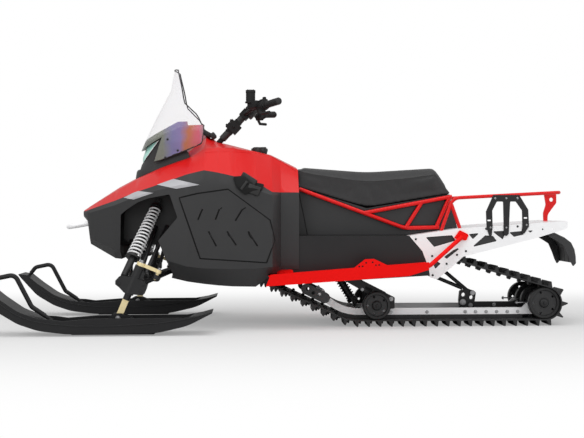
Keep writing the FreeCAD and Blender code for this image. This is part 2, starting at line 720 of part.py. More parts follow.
tube_lane = S.seat_base_half + S.frame_tube_radius + 0.2
frame_tubes = fused([
    tube([(-48, tube_lane, 779), (-650, tube_lane, 556), (-850, tube_lane, 560)], S.frame_tube_radius, 150),
    rod((-420, tube_lane, 642), (-924, tube_lane, 736), S.frame_tube_radius),
    rod((-660, tube_lane, 560), (-752, tube_lane, 704), S.frame_tube_radius),
    rod((-832, tube_lane, 556), (-912, tube_lane, 734), S.frame_tube_radius),
])
both_sides("seat_frame", feature("frame_tubes", frame_tubes))

# ---------------------------------------------------------------- rack
rack_y = S.tunnel_half - S.rack_tube_radius
rack_slope = (S.rack_rear_z - S.rack_front_z) / (S.rack_rear_x + 930)


def rack_z(x):
    return S.rack_front_z + rack_slope * (x + 930)


def deck_z(x):
    """Height of the tunnel's top surface behind the seat."""
    knots = tunnel_line[3:]
    for (x1, z1), (x2, z2) in zip(knots, knots[1:]):
        if x >= x2:
            return z1 + (z2 - z1) * (x - x1) / (x2 - x1)
    return knots[-1][1]


rack_side = []
for side in (1, -1):
    lane = side * rack_y
    rack_side.append([(-846, lane, deck_z(-846)), (-912, lane, rack_z(-912)),
                      (S.rack_rear_x + S.rack_tube_radius, lane, rack_z(S.rack_rear_x))])
rack_path = rack_side[0] + rack_side[1][::-1]
rack_parts = [tube(rack_path, S.rack_tube_radius, S.rack_bend)]
for side in (-1, 1):
    lane = side * rack_y
    rack_parts.append(rod((-905, lane, 690), (-952, lane, deck_z(-952)), S.rack_tube_radius))
rack_leg = prism([(-1516, 758), (-1590, 752, 6), (-1590, 700, 16), (-1562, 664, 30), (-1538, 630, 40),
                  (-1537, deck_z(-1537)), (-1514, deck_z(-1514)), (-1512, 640, 40), (-1528, 690, 30)], -6, 6)
rack_leg = rack_leg.cut(rod((-1560, -10, 720), (-1560, 10, 720), 12))
rack_parts.append(rack_leg)
rack_shape = fused(rack_parts)
for neighbour in (tunnel_top_plate, rear_plate):
    rack_shape = rack_shape.cut(neighbour.Shape).cut(neighbour.Shape.mirror(Vector(), Vector(0, 1, 0)))
register(feature("rack_loop", rack_shape), "rack_loop")

plate_top = rack_z(-1214) + 2
rack_plate_outline = [
    (-1140, plate_top), (-1288, plate_top), (-1340, 660, 8), (-1344, 566, 6), (-1316, 524, 5), (-1302, 534, 5),
    (-1306, 566, 6), (-1304, 656, 8), (-1268, 706, 6), (-1236, 706, 6), (-1228, 524, 6), (-1212, 510, 6),
    (-1200, 524, 6), (-1196, 706, 6), (-1160, 706, 6), (-1134, 656, 8), (-1136, 566, 6), (-1130, 512, 5),
    (-1118, 512, 5), (-1102, 556, 6), (-1098, 650, 8),
]
rack_hole_z = plate_top - 16
rack_plate = side_plate(
    "rack_plate", rack_plate_outline, S.tunnel_half, "sizes.rack_plate_gauge",
    windows=[[(-1106, 604, 3), (-1126, 604, 3), (-1126, 596, 3), (-1106, 596, 3)],
             [(-1314, 618, 3), (-1334, 618, 3), (-1334, 610, 3), (-1314, 610, 3)]],
    holes=[(-1150, rack_hole_z, S.plate_hole_radius), (-1278, rack_hole_z, S.plate_hole_radius)])
register(rack_plate, "rack_plate")

# ---------------------------------------------------------------- snow flap
flap_rear_x = -1659
flap_half = 150
flap_line = [(-1430, 566), (-1490, 545), (-1545, 521), (-1590, 500), (-1630, 470), (-1650, 430), (-1657, 392),
             (flap_rear_x, 350)]
flap_sheet = flap_line + lowered(flap_line, -S.tunnel_gauge)[::-1]
flap_parts = [prism(flap_sheet, -flap_half, flap_half)]
flap_side = flap_line + [(-1643, 331, 4), (-1628, 359, 10), (-1612, 404, 20), (-1590, 454, 20), (-1556, 476, 20),
                         (-1525, 494), (-1490, 512), (-1446, 540)]
for side in (-1, 1):
    low = side * (flap_half - 4) - 4
    flap_parts.append(prism(flap_side, low, low + 8))
flap_strip = [(-1438, 562), (-1468, 551.5), (-1470, 545.5), (-1440, 556)]
flap_parts.append(prism(flap_strip, -inner_half, inner_half))
register(feature("snow_flap", fused(flap_parts)), "snow_flap")

# ---------------------------------------------------------------- body shell
# Half sections of the outer skin, nose to seat.  Each pair is (y, z): shoulder,
# colour border, upper and lower ends of the flat side, floor edge.
STATIONS = [
    # x, ridge z, shoulder, border, side top, side foot, floor
    (1183, 660, (34, 657), (60, 650), (66, 643), (66, 632), (54, 622)),
    (1152, 682, (60, 674), (104, 658), (122, 646), (122, 606), (92, 590)),
    (1136, 692, (70, 683), (120, 663), (140, 643), (142, 500), (104, 466)),
    (985, 790, (120, 771), (222, 711), (262, 684), (266, 440), (192, 388)),
    (860, 858, (155, 838), (298, 758), (338, 730), (340, 428), (226, 376)),
    (740, 922, (198, 888), (350, 796), (386, 764), (388, 402), (296, 302)),
    (575, 1004, (205, 950), (378, 854), (404, 805), (404, 352), (330, 265)),
    (483, 1090, (206, 1006), (384, 876), (404, 815), (404, 342), (332, 252)),
    (410, 1054, (204, 1010), (386, 864), (404, 805), (404, 340), (334, 244)),
    (326, 1034, (200, 1005), (386, 845), (404, 790), (404, 338), (335, 238)),
    (200, 1002, (190, 990), (384, 813), (404, 770), (404, 340), (336, 236)),
    (110, 982, (182, 966), (372, 758), (400, 738), (400, 350), (336, 300)),
    (60, 958, (176, 938), (300, 757), (303, 745), (303, 350), (292, 326)),
    (hood_rear_x, 906, (164, 888), (282, 757), (285, 745), (285, 350), (282, 330)),
]
SKIN = ["ridge", "shoulder", "border", "side_top", "side_foot", "floor"]


def station_at(x):
    """The half section at any x, between the two nearest stations."""
    for ahead, behind in zip(STATIONS, STATIONS[1:]):
        if ahead[0] >= x >= behind[0]:
            part = (ahead[0] - x) / (ahead[0] - behind[0])
            points = [(0, ahead[1] + (behind[1] - ahead[1]) * part)]
            for a, b in zip(ahead[2:], behind[2:]):
                points.append((a[0] + (b[0] - a[0]) * part, a[1] + (b[1] - a[1]) * part))
            return points
    raise ValueError(x)


def inset(points, gap):
    """A closed outline of (y, z) points moved inwards by the gap."""
    moved = []
    count = len(points)
    for i in range(count):
        y, z = points[i]
        normals = []
        for (y1, z1), (y2, z2) in ((points[i - 1], points[i]), (points[i], points[(i + 1) % count])):
            size = math.hypot(y2 - y1, z2 - z1)
            normals.append(((z1 - z2) / size, (y2 - y1) / size))
        ny = (normals[0][0] + normals[1][0]) / 2
        nz = (normals[0][1] + normals[1][1]) / 2
        scale = gap / (ny * ny + nz * nz)
        moved.append((y + ny * scale, z + nz * scale))
    return moved


def ring_at(x, gap):
    """The whole section at x, left floor edge over the ridge to the right one."""
    half = station_at(x)
    loop = [(y, z) for y, z in half[::-1]] + [(-y, z) for y, z in half[1:]]
    return inset(loop, gap)


RING = [name + "_left" for name in SKIN[::-1]][:-1] + ["ridge"] + [name + "_right" for name in SKIN[1:]]


def skin(first, last, front, rear, outer_gap, inner_gap):
    """A piece of the shell between two lines of the skin and two values of x."""
    low = RING.index(first)
    high = RING.index(last)
    cuts = [front] + [s[0] for s in STATIONS if front > s[0] > rear] + [rear]
    pieces = []
    wires = []
    for x in cuts:
        outer = ring_at(x, outer_gap)
        inner = ring_at(x, inner_gap)
        if low > high:
            chosen = list(range(low, len(RING))) + list(range(0, high + 1))
        else:
            chosen = list(range(low, high + 1))
        loop = [outer[i] for i in chosen] + [inner[i] for i in reversed(chosen)]
        corners = [Vector(x, y, z) for y, z in loop]
        wires.append(Part.makePolygon(corners + [corners[0]]))
    return Part.makeLoft(wires, True, True)


gauge = S.shell_gauge
nose_x = STATIONS[0][0]
steer_line = Vector(-math.sin(math.radians(S.post_lean)), 0, math.cos(math.radians(S.post_lean)))
post_middle = Vector(S.post_x, 0, S.post_z)
post_foot = post_middle - steer_line * S.post_down
post_head = post_middle + steer_line * S.post_up
post_bore = rod(post_foot, post_head, S.post_radius + S.moving_gap)


def tip_cap(first, last):
    low = RING.index(first)
    high = RING.index(last)
    ring = ring_at(nose_x, 0)
    chosen = ring[low:high + 1] if low < high else ring[low:] + ring[:high + 1]
    corners = [Vector(nose_x, y, z) for y, z in chosen]
    return Part.Face(Part.makePolygon(corners + [corners[0]])).extrude(Vector(-gauge, 0, 0))


hood_shape = skin("border_left", "border_right", nose_x, hood_rear_x, 0, gauge)
hood_shape = hood_shape.fuse(tip_cap("border_left", "border_right")).cut(post_bore).removeSplitter()
register(feature("hood", hood_shape), "hood")

arch = [(949, 377), (945, 634, 10), (911, 660), (844, 702, 20), (786, 723), (669, 744, 10), (626, 618, 16),
        (731, 493, 10), (656, 310), (690, 180), (949, 180)]
arch_left = prism(arch, 0, S.body_half + 50)
arch_both = prism(arch, -S.body_half - 50, S.body_half + 50)
nose_shape = skin("border_right", "border_left", nose_x, S.nose_split_x, 0, gauge)
nose_shape = nose_shape.fuse(tip_cap("border_right", "border_left")).cut(arch_both).removeSplitter()
register(feature("nose_cowl", nose_shape.cut(hood_shape)), "nose_cowl")

HEXAGON = [(622, 728, 6), (520, 752, 6), (352, 776, 6), (118, 604, 6), (92, 492, 6), (138, 368, 6), (506, 392, 6)]
HEXAGON_CENTRE = (340, 570)
SLASHES = [  # from (x, z) to (x, z)
    ((490, 664), (515, 606)), ((399, 664), (420, 606)), ((276, 660), (312, 600)),
    ((457, 543), (415, 462)), ((357, 543), (308, 468)), ((242, 542), (191, 462)),
]
groove_width = 9
groove_depth = 3.5


def scaled(points, factor):
    cx, cz = HEXAGON_CENTRE
    return [(cx + (p[0] - cx) * factor, cz + (p[1] - cz) * factor) + tuple(p[2:]) for p in points]


def pressed_lines(low, high):
    outer = prism(HEXAGON, low, high)
    inner = prism(scaled(HEXAGON, 1 - 2 * groove_width / 500), low - 1, high + 1)
    lines = [outer.cut(inner)]
    for (x1, z1), (x2, z2) in SLASHES:
        size = math.hypot(x2 - x1, z2 - z1)
        dx = (z2 - z1) / size * groove_width / 2
        dz = -(x2 - x1) / size * groove_width / 2
        lines.append(prism([(x1 + dx, z1 + dz), (x2 + dx, z2 + dz), (x2 - dx, z2 - dz), (x1 - dx, z1 - dz)],
                           low, high))
    return lines


panel_shape = skin("floor_left", "border_left", S.nose_split_x, 60, 0, gauge).cut(arch_left)
for line in pressed_lines(S.body_half - groove_depth, S.body_half + 10):
    panel_shape = panel_shape.cut(line)
panel = feature("side_panel", panel_shape.cut(board_shape))
register(panel, "side_panel_left")
register(mirrored("side_panel_mirror", panel), "side_panel_right")
rear_panel = feature("rear_panel", skin("floor_left", "border_left", 60, hood_rear_x, 0, gauge).cut(board_shape))
both_sides("rear_panels", rear_panel)
belly_shape = skin("floor_right", "floor_left", 690, S.tunnel_front_x + 8, 0, gauge).cut(arch_both)
register(feature("belly_pan", belly_shape), "belly_pan")


# ---------------------------------------------------------------- silver inserts and latches
INSERTS = [
    [(934, 727), (853, 765, 8), (757, 752), (869, 716, 8)],
    [(758, 801), (658, 831, 12), (505, 796), (633, 774, 10)],
]
insert_skin = skin("floor_left", "border_left", 960, 460, -2, 0)
insert_shapes = []
for outline in INSERTS:
    insert_shapes.append(insert_skin.common(prism(outline, 0, S.body_half + 60)))
left_inserts = feature("insert", Part.makeCompound(insert_shapes))
both_sides("silver_inserts", left_inserts)
latch_skin = skin("floor_left", "shoulder_left", 360, 130, -12, 0)
LATCH = [(322, 842, 6), (262, 846, 8), (214, 812, 6), (152, 800, 8), (168, 770, 8), (214, 764, 8), (262, 742, 10),
         (304, 784, 8)]
both_sides("panel_latches", feature("latch", latch_skin.common(prism(LATCH, 0, S.body_half + 60))))


# ---------------------------------------------------------------- windshield and headlamp
def bow(z, front, edge_x, edge_y, radius, gap):
    """A level U-shaped section: round at the front, straight sides running back."""
    centre = Vector(front - radius, 0, z)
    edge = Vector(edge_x, edge_y, z)
    reach = centre.distanceToPoint(edge)
    swing = math.acos(radius / reach)
    toward = math.atan2(edge.y, edge.x - centre.x)
    angle = toward - swing
    out = Vector(math.cos(angle), math.sin(angle), 0)
    touch = centre + out * (radius - gap)
    tail = edge - out * gap
    nose = centre + Vector(radius - gap, 0, 0)
    return tail, touch, nose, Vector(touch.x, -touch.y, z), Vector(tail.x, -tail.y, z)


def bow_wire(z, front, edge_x, edge_y, radius, thickness):
    """The closed wire of a bow: a thin band, or filled when the thickness is None."""
    tail, touch, nose, touch_r, tail_r = bow(z, front, edge_x, edge_y, radius, 0)
    edges = [Part.LineSegment(tail, touch).toShape(), Part.Arc(touch, nose, touch_r).toShape(),
             Part.LineSegment(touch_r, tail_r).toShape()]
    if thickness is None:
        edges.append(Part.LineSegment(tail_r, tail).toShape())
    else:
        tail2, touch2, nose2, touch_r2, tail_r2 = bow(z, front, edge_x, edge_y, radius, thickness)
        edges += [Part.LineSegment(tail_r, tail_r2).toShape(), Part.LineSegment(tail_r2, touch_r2).toShape(),
                  Part.Arc(touch_r2, nose2, touch2).toShape(), Part.LineSegment(touch2, tail2).toShape(),
                  Part.LineSegment(tail2, tail).toShape()]
    return Part.Wire(edges)


SCREEN = [  # z, front x, rear edge x, rear edge y, front radius
    (915, 893, 500, 252, 168), (1045, 841, 500, 250, 165), (1134, 801, 490, 228, 152), (1201, 769, 534, 200, 142),
    (1272, 731, 605, 152, 126), (1352, 690, 619, 136, 118), (1436, 675, 633, 122, 108), (1480, 664, 642, 100, 92),
]
screen_loft = Part.makeLoft([bow_wire(*row, S.screen_gauge) for row in SCREEN], True, True)
screen_cut = [(1000, 1530), (672, 1476, 10), (640, 1462, 16), (400, 1450), (400, 1031), (501, 1031, 16), (587, 995),
              (774, 930), (731, 1074), (821, 1022), (1000, 920)]
windshield_shape = screen_loft.common(prism(screen_cut, -400, 400))
register(feature("windshield", windshield_shape), "windshield")

LAMP = [  # z, front x, rear edge x, rear edge y, front radius
    (900, 852, 560, 196, 138), (960, 851, 560, 196, 138), (1020, 830, 560, 196, 138), (1080, 806, 560, 196, 138),
]
lamp_loft = Part.makeLoft([bow_wire(*row, None) for row in LAMP], True, True)
lamp_cut = [(840, 1012), (900, 990), (900, 900), (853, 922), (748, 1056), (824, 1021)]
register(feature("headlamp_lens", lamp_loft.common(prism(lamp_cut, -300, 300))), "headlamp_lens")
HOUSING = [  # z, front x, rear edge x, rear edge y, front radius
    (820, 896, 560, 200, 142), (880, 886, 560, 200, 142), (930, 852, 560, 200, 142), (1090, 800, 560, 200, 142),
]
housing_loft = Part.makeLoft([bow_wire(*row, None) for row in HOUSING], True, True)
housing_cut = [(910, 862), (900, 884), (858, 892), (853, 922), (748, 1056), (733, 1072), (700, 1060),
               (640, 1035), (585, 992), (568, 952), (650, 916), (734, 885), (800, 858), (884, 834)]
housing_shape = housing_loft.common(prism(housing_cut, -300, 300))
hood_fill = Part.makeLoft([Part.makePolygon([Vector(x, y, z) for y, z in ring_at(x, 0) + ring_at(x, 0)[:1]])
                           for x in [s[0] for s in STATIONS if 950 > s[0] > 400]], True, True)
housing_shape = housing_shape.cut(hood_fill).cut(hood_shape)
screen_fill = Part.makeLoft([bow_wire(*row, None) for row in SCREEN], True, True)
screen_bosses = []
for x, z in ((660, 1000), (738, 966)):
    for side in (-1, 1):
        boss = rod(Vector(x, side * 100, z), Vector(x, side * 300, z), 12)
        screen_bosses.append(boss.common(screen_fill).cut(windshield_shape))
housing_shape = fused([housing_shape] + screen_bosses).cut(hood_shape)
register(feature("headlamp_housing", housing_shape), "headlamp_housing")
pod = prism([(505, 1080), (512, 1116, 10), (448, 1116, 14), (420, 1078, 10), (436, 1062)], -62, 62).cut(hood_fill)
register(feature("gauge_pod", pod.cut(hood_shape)), "gauge_pod")

# ---------------------------------------------------------------- fuel cap and bumper
cap_base = Vector(172, 0, 990)
cap_line = Vector(0.06, 0, 1).normalize()
cap_parts = [Part.makeCylinder(30, 14, cap_base, cap_line),
             Part.makeCone(45, 40, 24, cap_base + cap_line * 10, cap_line)]
for i in range(8):
    turn = math.radians(45 * i + 10)
    spot = cap_base + cap_line * 11 + Vector(42 * math.cos(turn), 42 * math.sin(turn), 0)
    cap_parts.append(Part.makeCylinder(7, 17, spot, cap_line))
cap_shape = fused(cap_parts)
hood_rear_fill = Part.makeLoft([Part.makePolygon([Vector(x, y, z) for y, z in ring_at(x, 0) + ring_at(x, 0)[:1]])
                                for x in [s[0] for s in STATIONS if 400 > s[0] > 0]], True, True)
register(feature("fuel_cap", cap_shape.cut(hood_rear_fill)), "fuel_cap")
bumper_half = 100
bumper = tube([(1120, bumper_half, 588), (1268, bumper_half, 562), (1268, -bumper_half, 562),
               (1120, -bumper_half, 588)], 13, 45)
nose_fill = Part.makeLoft([Part.makePolygon([Vector(x, y, z) for y, z in ring_at(x, 0) + ring_at(x, 0)[:1]])
                           for x in [s[0] for s in STATIONS if s[0] > 900]], True, True)
register(feature("front_bumper", bumper.cut(nose_fill)), "front_bumper")

# ---------------------------------------------------------------- engine and front frame
engine = doc.addObject("Part::Box", "engine_block")
engine.Length = 260
ledge_half = S.frame_half + S.frame_ledge
engine.Width = 2 * ledge_half
engine.Height = 394
engine.Placement = Placement(Vector(350, -ledge_half, 318), Rotation())
register(engine, "engine")
frame_half = S.frame_half
frame_side = [(938, 640, 10), (944, 500, 10), (900, 462, 10), (735, 462, 10), (672, 330, 10), (628, 312),
              (628, 736, 10), (760, 742, 10), (880, 700, 10)]
frame_parts = []
for side in (-1, 1):
    low = side * frame_half - (8 if side > 0 else 0)
    frame_parts.append(prism(frame_side, low, low + 8))
frame_parts.append(prism([(628, 312), (628, 730), (622, 730), (622, 312)], -frame_half, frame_half))
frame_parts.append(prism([(900, 470), (900, 462), (735, 462), (730, 470)], -frame_half, frame_half))
frame_parts.append(prism([(938, 640), (938, 500), (930, 500), (930, 640)], -frame_half, frame_half))
frame_parts.append(prism([(760, 742), (640, 736), (640, 728), (760, 734)], -frame_half, frame_half))
frame_parts.append(slab((S.tunnel_front_x - 8, 672), (-ledge_half, ledge_half), (300, 318)))
frame_shape = fused(frame_parts)
frame_shape = frame_shape.cut(slab((655, 740), (-frame_half - 20, frame_half + 20), (432, 516)))
post_sleeve_end = post_foot + steer_line * 40
sleeve = rod(post_foot, post_sleeve_end, S.post_radius + 10)
stay_high = post_foot + steer_line * 20
stays = []
for side in (-1, 1):
    stays.append(rod(stay_high + Vector(0, side * (S.post_radius + 4), 0), Vector(660, side * 120, 732), 10))
frame_shape = fused([frame_shape, sleeve] + stays)
frame_shape = frame_shape.cut(rod(post_foot - steer_line * 20, post_head, S.post_radius + S.running_gap))
register(feature("front_frame", frame_shape), "front_frame")

# ---------------------------------------------------------------- steering column
bar_centre = post_middle + steer_line * 200
riser_middle = post_middle + steer_line * 100


def turned_box(centre, along, across, width):
    """A block lying along the post: its three sizes, post-wise, fore-and-aft and sideways."""
    box = Part.makeBox(across, width, along, Vector(-across / 2, -width / 2, -along / 2))
    box.Placement = Placement(centre, Rotation(Vector(0, 1, 0), -S.post_lean))
    return box


sweep_back = 172
bar_points = []
for side in (1, -1):
    tip = Vector(bar_centre.x - sweep_back - 6, side * S.bar_half, bar_centre.z + 38)
    knee = Vector(bar_centre.x - 40, side * 170, bar_centre.z + 16)
    root = Vector(bar_centre.x, side * 60, bar_centre.z)
    bar_points.append([tip, knee, root])
bar_path = bar_points[0] + bar_points[1][::-1]
bar = tube(bar_path, S.bar_radius, 70)
post_shape = fused([
    rod(post_foot, post_head - steer_line * 10, S.post_radius),
    turned_box(riser_middle, 58, 74, 60),
    turned_box(riser_middle, 90, 44, 44),
    turned_box(bar_centre, 46, 52, 90),
])
register(feature("steering_post", post_shape.cut(bar)), "steering_post")
register(feature("handlebar", bar), "handlebar")
grip_shapes = []
control_shapes = []
for tip, knee, root in bar_points:
    inward = (knee - tip).normalize()
    grip = rod(tip - inward * 6, tip + inward * S.grip_length, S.grip_radius)
    flange = rod(tip + inward * (S.grip_length - 8), tip + inward * S.grip_length, S.grip_radius + 7)
    grip_shapes.append(grip.fuse(flange).cut(bar))
    pod_start = tip + inward * (S.grip_length + 6)
    side = 1 if tip.y > 0 else -1
    block = rod(pod_start, pod_start + inward * 74, 26)
    lever_root = pod_start + inward * 20
    lever_out = Vector(lever_root.x + 10, lever_root.y, lever_root.z - 44)
    lever_tip = tip + Vector(46, 0, -46)
    lever = fused([rod(lever_root, lever_out, 11), rod(lever_out, lever_tip, 9)])
    pieces = [block, lever]
    if side > 0:
        base = pod_start + inward * 50 + Vector(16, 0, 10)
        pieces.append(rod(base, base + Vector(0, 0, 78), 25))
    control_shapes.append(fused(pieces).cut(bar))
register(feature("grips", Part.makeCompound(grip_shapes)), "grips")
register(feature("bar_controls", Part.makeCompound(control_shapes)), "bar_controls")


# ---------------------------------------------------------------- front suspension, left side
lean = math.radians(S.caster)
kingpin_line = Vector(-math.sin(lean), 0, math.cos(lean))
rearward = Vector(-math.cos(lean), 0, -math.sin(lean))
ski_bolt = Vector(S.ski_bolt_x, S.stance_half, S.ski_bolt_z)


def on_kingpin(along, back=0.0, out=0.0):
    """A point measured up the kingpin from the ski bolt, rearward and outward of it."""
    return ski_bolt + kingpin_line * along + rearward * back + Vector(0, out, 0)


def kingpin_block(start, end, back, out):
    """A block square to the kingpin: limits up it, rearward and outward."""
    box = Part.makeBox(back[1] - back[0], out[1] - out[0], end - start, Vector(-back[1], out[0], start))
    box.Placement = Placement(ski_bolt, Rotation(Vector(0, 1, 0), -S.caster))
    return box


sleeve_end = S.sleeve_start + S.sleeve_length
lower_joint = on_kingpin(S.sleeve_start + 40, 4, -58)
upper_joint = on_kingpin(sleeve_end - 46, 26, -50)
shock_foot_front = on_kingpin(S.sleeve_start + 66, -62, -44)
shock_top_front = Vector(744, S.frame_half + 24, 706)
shock_front_line = (shock_top_front - shock_foot_front).normalize()

knuckle = prism([(945, 286, 6), (945, 266, 6), (927, 252, 8), (899, 222, 8), (867, 214, 8), (808, 207, 6),
                 (797, 211, 6), (784, 241, 8), (778, 263, 8), (800, 284, 8), (856, 305, 8), (923, 310, 8)],
                S.stance_half - 46, S.stance_half + 24)
knuckle = knuckle.cut(rod(on_kingpin(S.sleeve_start - 34), on_kingpin(S.sleeve_start), S.sleeve_radius))
housing_shape = fused([
    rod(on_kingpin(S.sleeve_start), on_kingpin(sleeve_end), S.sleeve_radius),
    knuckle,
    kingpin_block(S.sleeve_start + 60, sleeve_end - 22, (-24, 40), (-36, 12)),
])
kingpin_bore = rod(on_kingpin(S.sleeve_start - 10), on_kingpin(sleeve_end + 10),
                   S.kingpin_radius + S.running_gap)
housing_shape = housing_shape.cut(kingpin_bore)
both_sides("leg_housings", feature("leg_housing", housing_shape))

LOWER_PIVOTS = [Vector(900, S.frame_half, 486), Vector(655, S.frame_half + 22, 322)]
UPPER_PIVOTS = [Vector(762, S.frame_half, 560), Vector(700, S.frame_half, 566)]
arm_sets = []
for joint, pivots in ((lower_joint, LOWER_PIVOTS), (upper_joint, UPPER_PIVOTS)):
    arm_parts = [rod(joint - Vector(32, 0, 0), joint + Vector(32, 0, 0), S.wishbone_radius + 5)]
    for pivot, step in zip(pivots, (16, -16)):
        arm_parts.append(rod(joint + Vector(step, 0, 0), pivot, S.wishbone_radius))
    arm_sets.append(fused(arm_parts))
frame_inside = slab((600, 960), (-frame_half, frame_half), (280, 760))
arm_compound = Part.makeCompound(arm_sets).cut(housing_shape).cut(frame_inside).cut(frame_shape)
wishbone = feature("wishbone", arm_compound)
both_sides("wishbones", wishbone)

spring_low = shock_foot_front + shock_front_line * 138
spring_high = shock_top_front - shock_front_line * 44
spring_top_radius = S.spring_radius - 7
damper = fused([
    rod(shock_foot_front - Vector(0, 17, 0), shock_foot_front + Vector(0, 19, 0), S.shock_radius - 2),
    rod(shock_foot_front + shock_front_line * 9, shock_foot_front + shock_front_line * 130, S.shock_radius),
    rod(shock_foot_front + shock_front_line * 126, spring_low, S.spring_radius + 2),
    rod(shock_foot_front + shock_front_line * 120, shock_top_front, 9),
    rod(spring_high, spring_high + shock_front_line * 10, spring_top_radius + 2),
    rod(shock_top_front - Vector(0, 24, 0), shock_top_front + Vector(0, 14, 0), 13),
])
damper = damper.cut(housing_shape)
both_sides("front_shocks", feature("front_shock", damper))
spring_shape = coil(spring_low, spring_high, S.spring_radius, 7, 15, bore=9, top=spring_top_radius)
both_sides("front_springs", feature("front_spring", spring_shape))

# ---------------------------------------------------------------- spindle, steering arm and tie rod
arm_low = sleeve_end + 2
arm_high = arm_low + S.steer_arm_gauge
steer_hub = rod(on_kingpin(arm_low), on_kingpin(arm_high), S.kingpin_radius + 8)
arm_bar = kingpin_block(arm_low, arm_high, (0, S.steer_arm), (-9, 9))
arm_eye = rod(on_kingpin(arm_low, S.steer_arm), on_kingpin(arm_high, S.steer_arm), 15)
rod_eye_low = arm_low - 36
rod_eye_high = arm_low - 12
ball_pin = rod(on_kingpin(rod_eye_low - 3, S.steer_arm), on_kingpin(arm_low + 2, S.steer_arm), S.ball_pin_radius)
foot_round = Part.makeCylinder(16, S.leg_depth, ski_bolt - Vector(0, S.leg_depth / 2, 0), Vector(0, 1, 0))
spindle_shape = fused([
    kingpin_block(4, S.leg_length, (-S.leg_width / 2, S.leg_width / 2), (-S.leg_depth / 2, S.leg_depth / 2)),
    foot_round,
    rod(on_kingpin(S.leg_length - 4), on_kingpin(S.sleeve_start - 2), S.kingpin_radius + 5),
    rod(on_kingpin(S.leg_length), on_kingpin(arm_high), S.kingpin_radius),
    steer_hub, arm_bar, arm_eye, ball_pin,
])
bolt_bore = Part.makeCylinder(S.ski_bolt_radius + S.running_gap, 80, ski_bolt - Vector(0, 40, 0), Vector(0, 1, 0))
spindle_shape = spindle_shape.cut(bolt_bore)
spindle = feature("spindle", spindle_shape)
register(spindle, "spindle_left")
register(mirrored("spindle_mirror", spindle), "spindle_right")

eye_low = on_kingpin(rod_eye_low, S.steer_arm)
eye_high = on_kingpin(rod_eye_high, S.steer_arm)
eye_middle = (eye_low + eye_high) * 0.5
rod_inner_end = Vector(702, frame_half - 42, 492)
tie_rod_shape = fused([rod(eye_low, eye_high, S.ball_pin_radius + 8), rod(eye_middle, rod_inner_end, S.tie_rod_radius)])
tie_rod_shape = tie_rod_shape.cut(rod(on_kingpin(rod_eye_low - 10, S.steer_arm),
                                      on_kingpin(arm_high, S.steer_arm), S.ball_pin_radius + S.running_gap))
tie_rod = feature("tie_rod", tie_rod_shape)
register(tie_rod, "tie_rod_left")
register(mirrored("tie_rod_mirror", tie_rod), "tie_rod_right")

# ---------------------------------------------------------------- skis, left one
ski_outline = [  # side view of the ski's body: x, z, corner radius
    (1664.7, 263.4, 4), (1640, 233, 60), (1545, 129, 200), (1440, 66, 200), (1336, 30, 300), (1190, 12, 300),
    (725, 14, 400), (560, 52, 300), (434, 116), (430, 124), (489, 108, 60), (569, 94, 60), (1049, 92, 60),
    (1211, 80, 60), (1274, 89, 40), (1336, 92, 60), (1440, 130, 200), (1536, 197, 120), (1610, 256, 20),
    (1636, 258, 6),
]
ski_y = S.stance_half
ski_body = prism(ski_outline, ski_y - S.ski_half, ski_y + S.ski_half)
ski_tray = prism([(1500, 300, 0), (1500, 190, 60), (1400, 132, 100), (1290, 66, 100), (1190, S.ski_deck_z, 100),
                  (740, S.ski_deck_z, 100), (560, 84, 60), (480, 130, 0), (480, 300, 0)],
                 ski_y - S.ski_half + S.ski_wall, ski_y + S.ski_half - S.ski_wall)
keel = prism([(1186, 14), (1176, 0, 10), (742, 0, 10), (724, 16), (760, 24), (1150, 24)],
             ski_y - S.keel_half, ski_y + S.keel_half)
ear_outline = [(1010, S.ski_deck_z - 2), (975, 98, 12), (950, 113, 20), (912, 113, 20), (862, 92, 20),
               (820, S.ski_deck_z - 2)]
inner_ear = S.leg_depth / 2 + S.moving_gap
ski_parts = [ski_body.cut(ski_tray), keel]
for side in (-1, 1):
    low = ski_y + side * (inner_ear + 4) - 4
    ski_parts.append(prism(ear_outline, low, low + 8))
ski_parts.append(Part.makeCylinder(S.ski_bolt_radius, 2 * (inner_ear + 14), ski_bolt - Vector(0, inner_ear + 14, 0),
                                   Vector(0, 1, 0)))
ski_shape = fused(ski_parts)
turn_clear = Part.makeCylinder(16 + S.moving_gap, 2 * inner_ear, ski_bolt - Vector(0, inner_ear, 0), Vector(0, 1, 0))
turn_clear = turn_clear.cut(Part.makeCylinder(S.ski_bolt_radius, 2 * inner_ear,
                                              ski_bolt - Vector(0, inner_ear, 0), Vector(0, 1, 0)))
ski_shape = ski_shape.cut(turn_clear)
ski = feature("ski", ski_shape)
register(ski, "ski_left")
register(mirrored("ski_mirror", ski), "ski_right")
loop_path = [(1616, ski_y, 240), (1572, ski_y, 298), (1474, ski_y, 318), (1386, ski_y, 148), (1278, ski_y, 74)]
ski_loop_shape = tube(loop_path, S.loop_radius, 38).cut(ski_shape)
ski_loop = feature("ski_loop", ski_loop_shape)
register(ski_loop, "ski_loop_left")
register(mirrored("ski_loop_mirror", ski_loop), "ski_loop_right")

# ---------------------------------------------------------------- checks and export
doc.recompute()
for item in doc.Objects:
    if "Invalid" in item.State or "Error" in item.State:
        raise ValueError("failed feature: " + item.Label)
for node in nodes:
    if node.Shape.isNull() or not node.Shape.isValid():
        raise ValueError("bad shape: " + node.Label)
for node in nodes:
    node.Shape.exportStep("parts/%s.step" % node.Label)
    box = node.Shape.BoundBox
    print("%-20s %2d solids  x %7.1f %7.1f  y %7.1f %7.1f  z %7.1f %7.1f" % (
        node.Label, len(node.Shape.Solids), box.XMin, box.XMax, box.YMin, box.YMax, box.ZMin, box.ZMax))
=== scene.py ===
import math

import bmesh
import bpy
from mathutils import Matrix, Vector
from mathutils.bvhtree import BVHTree


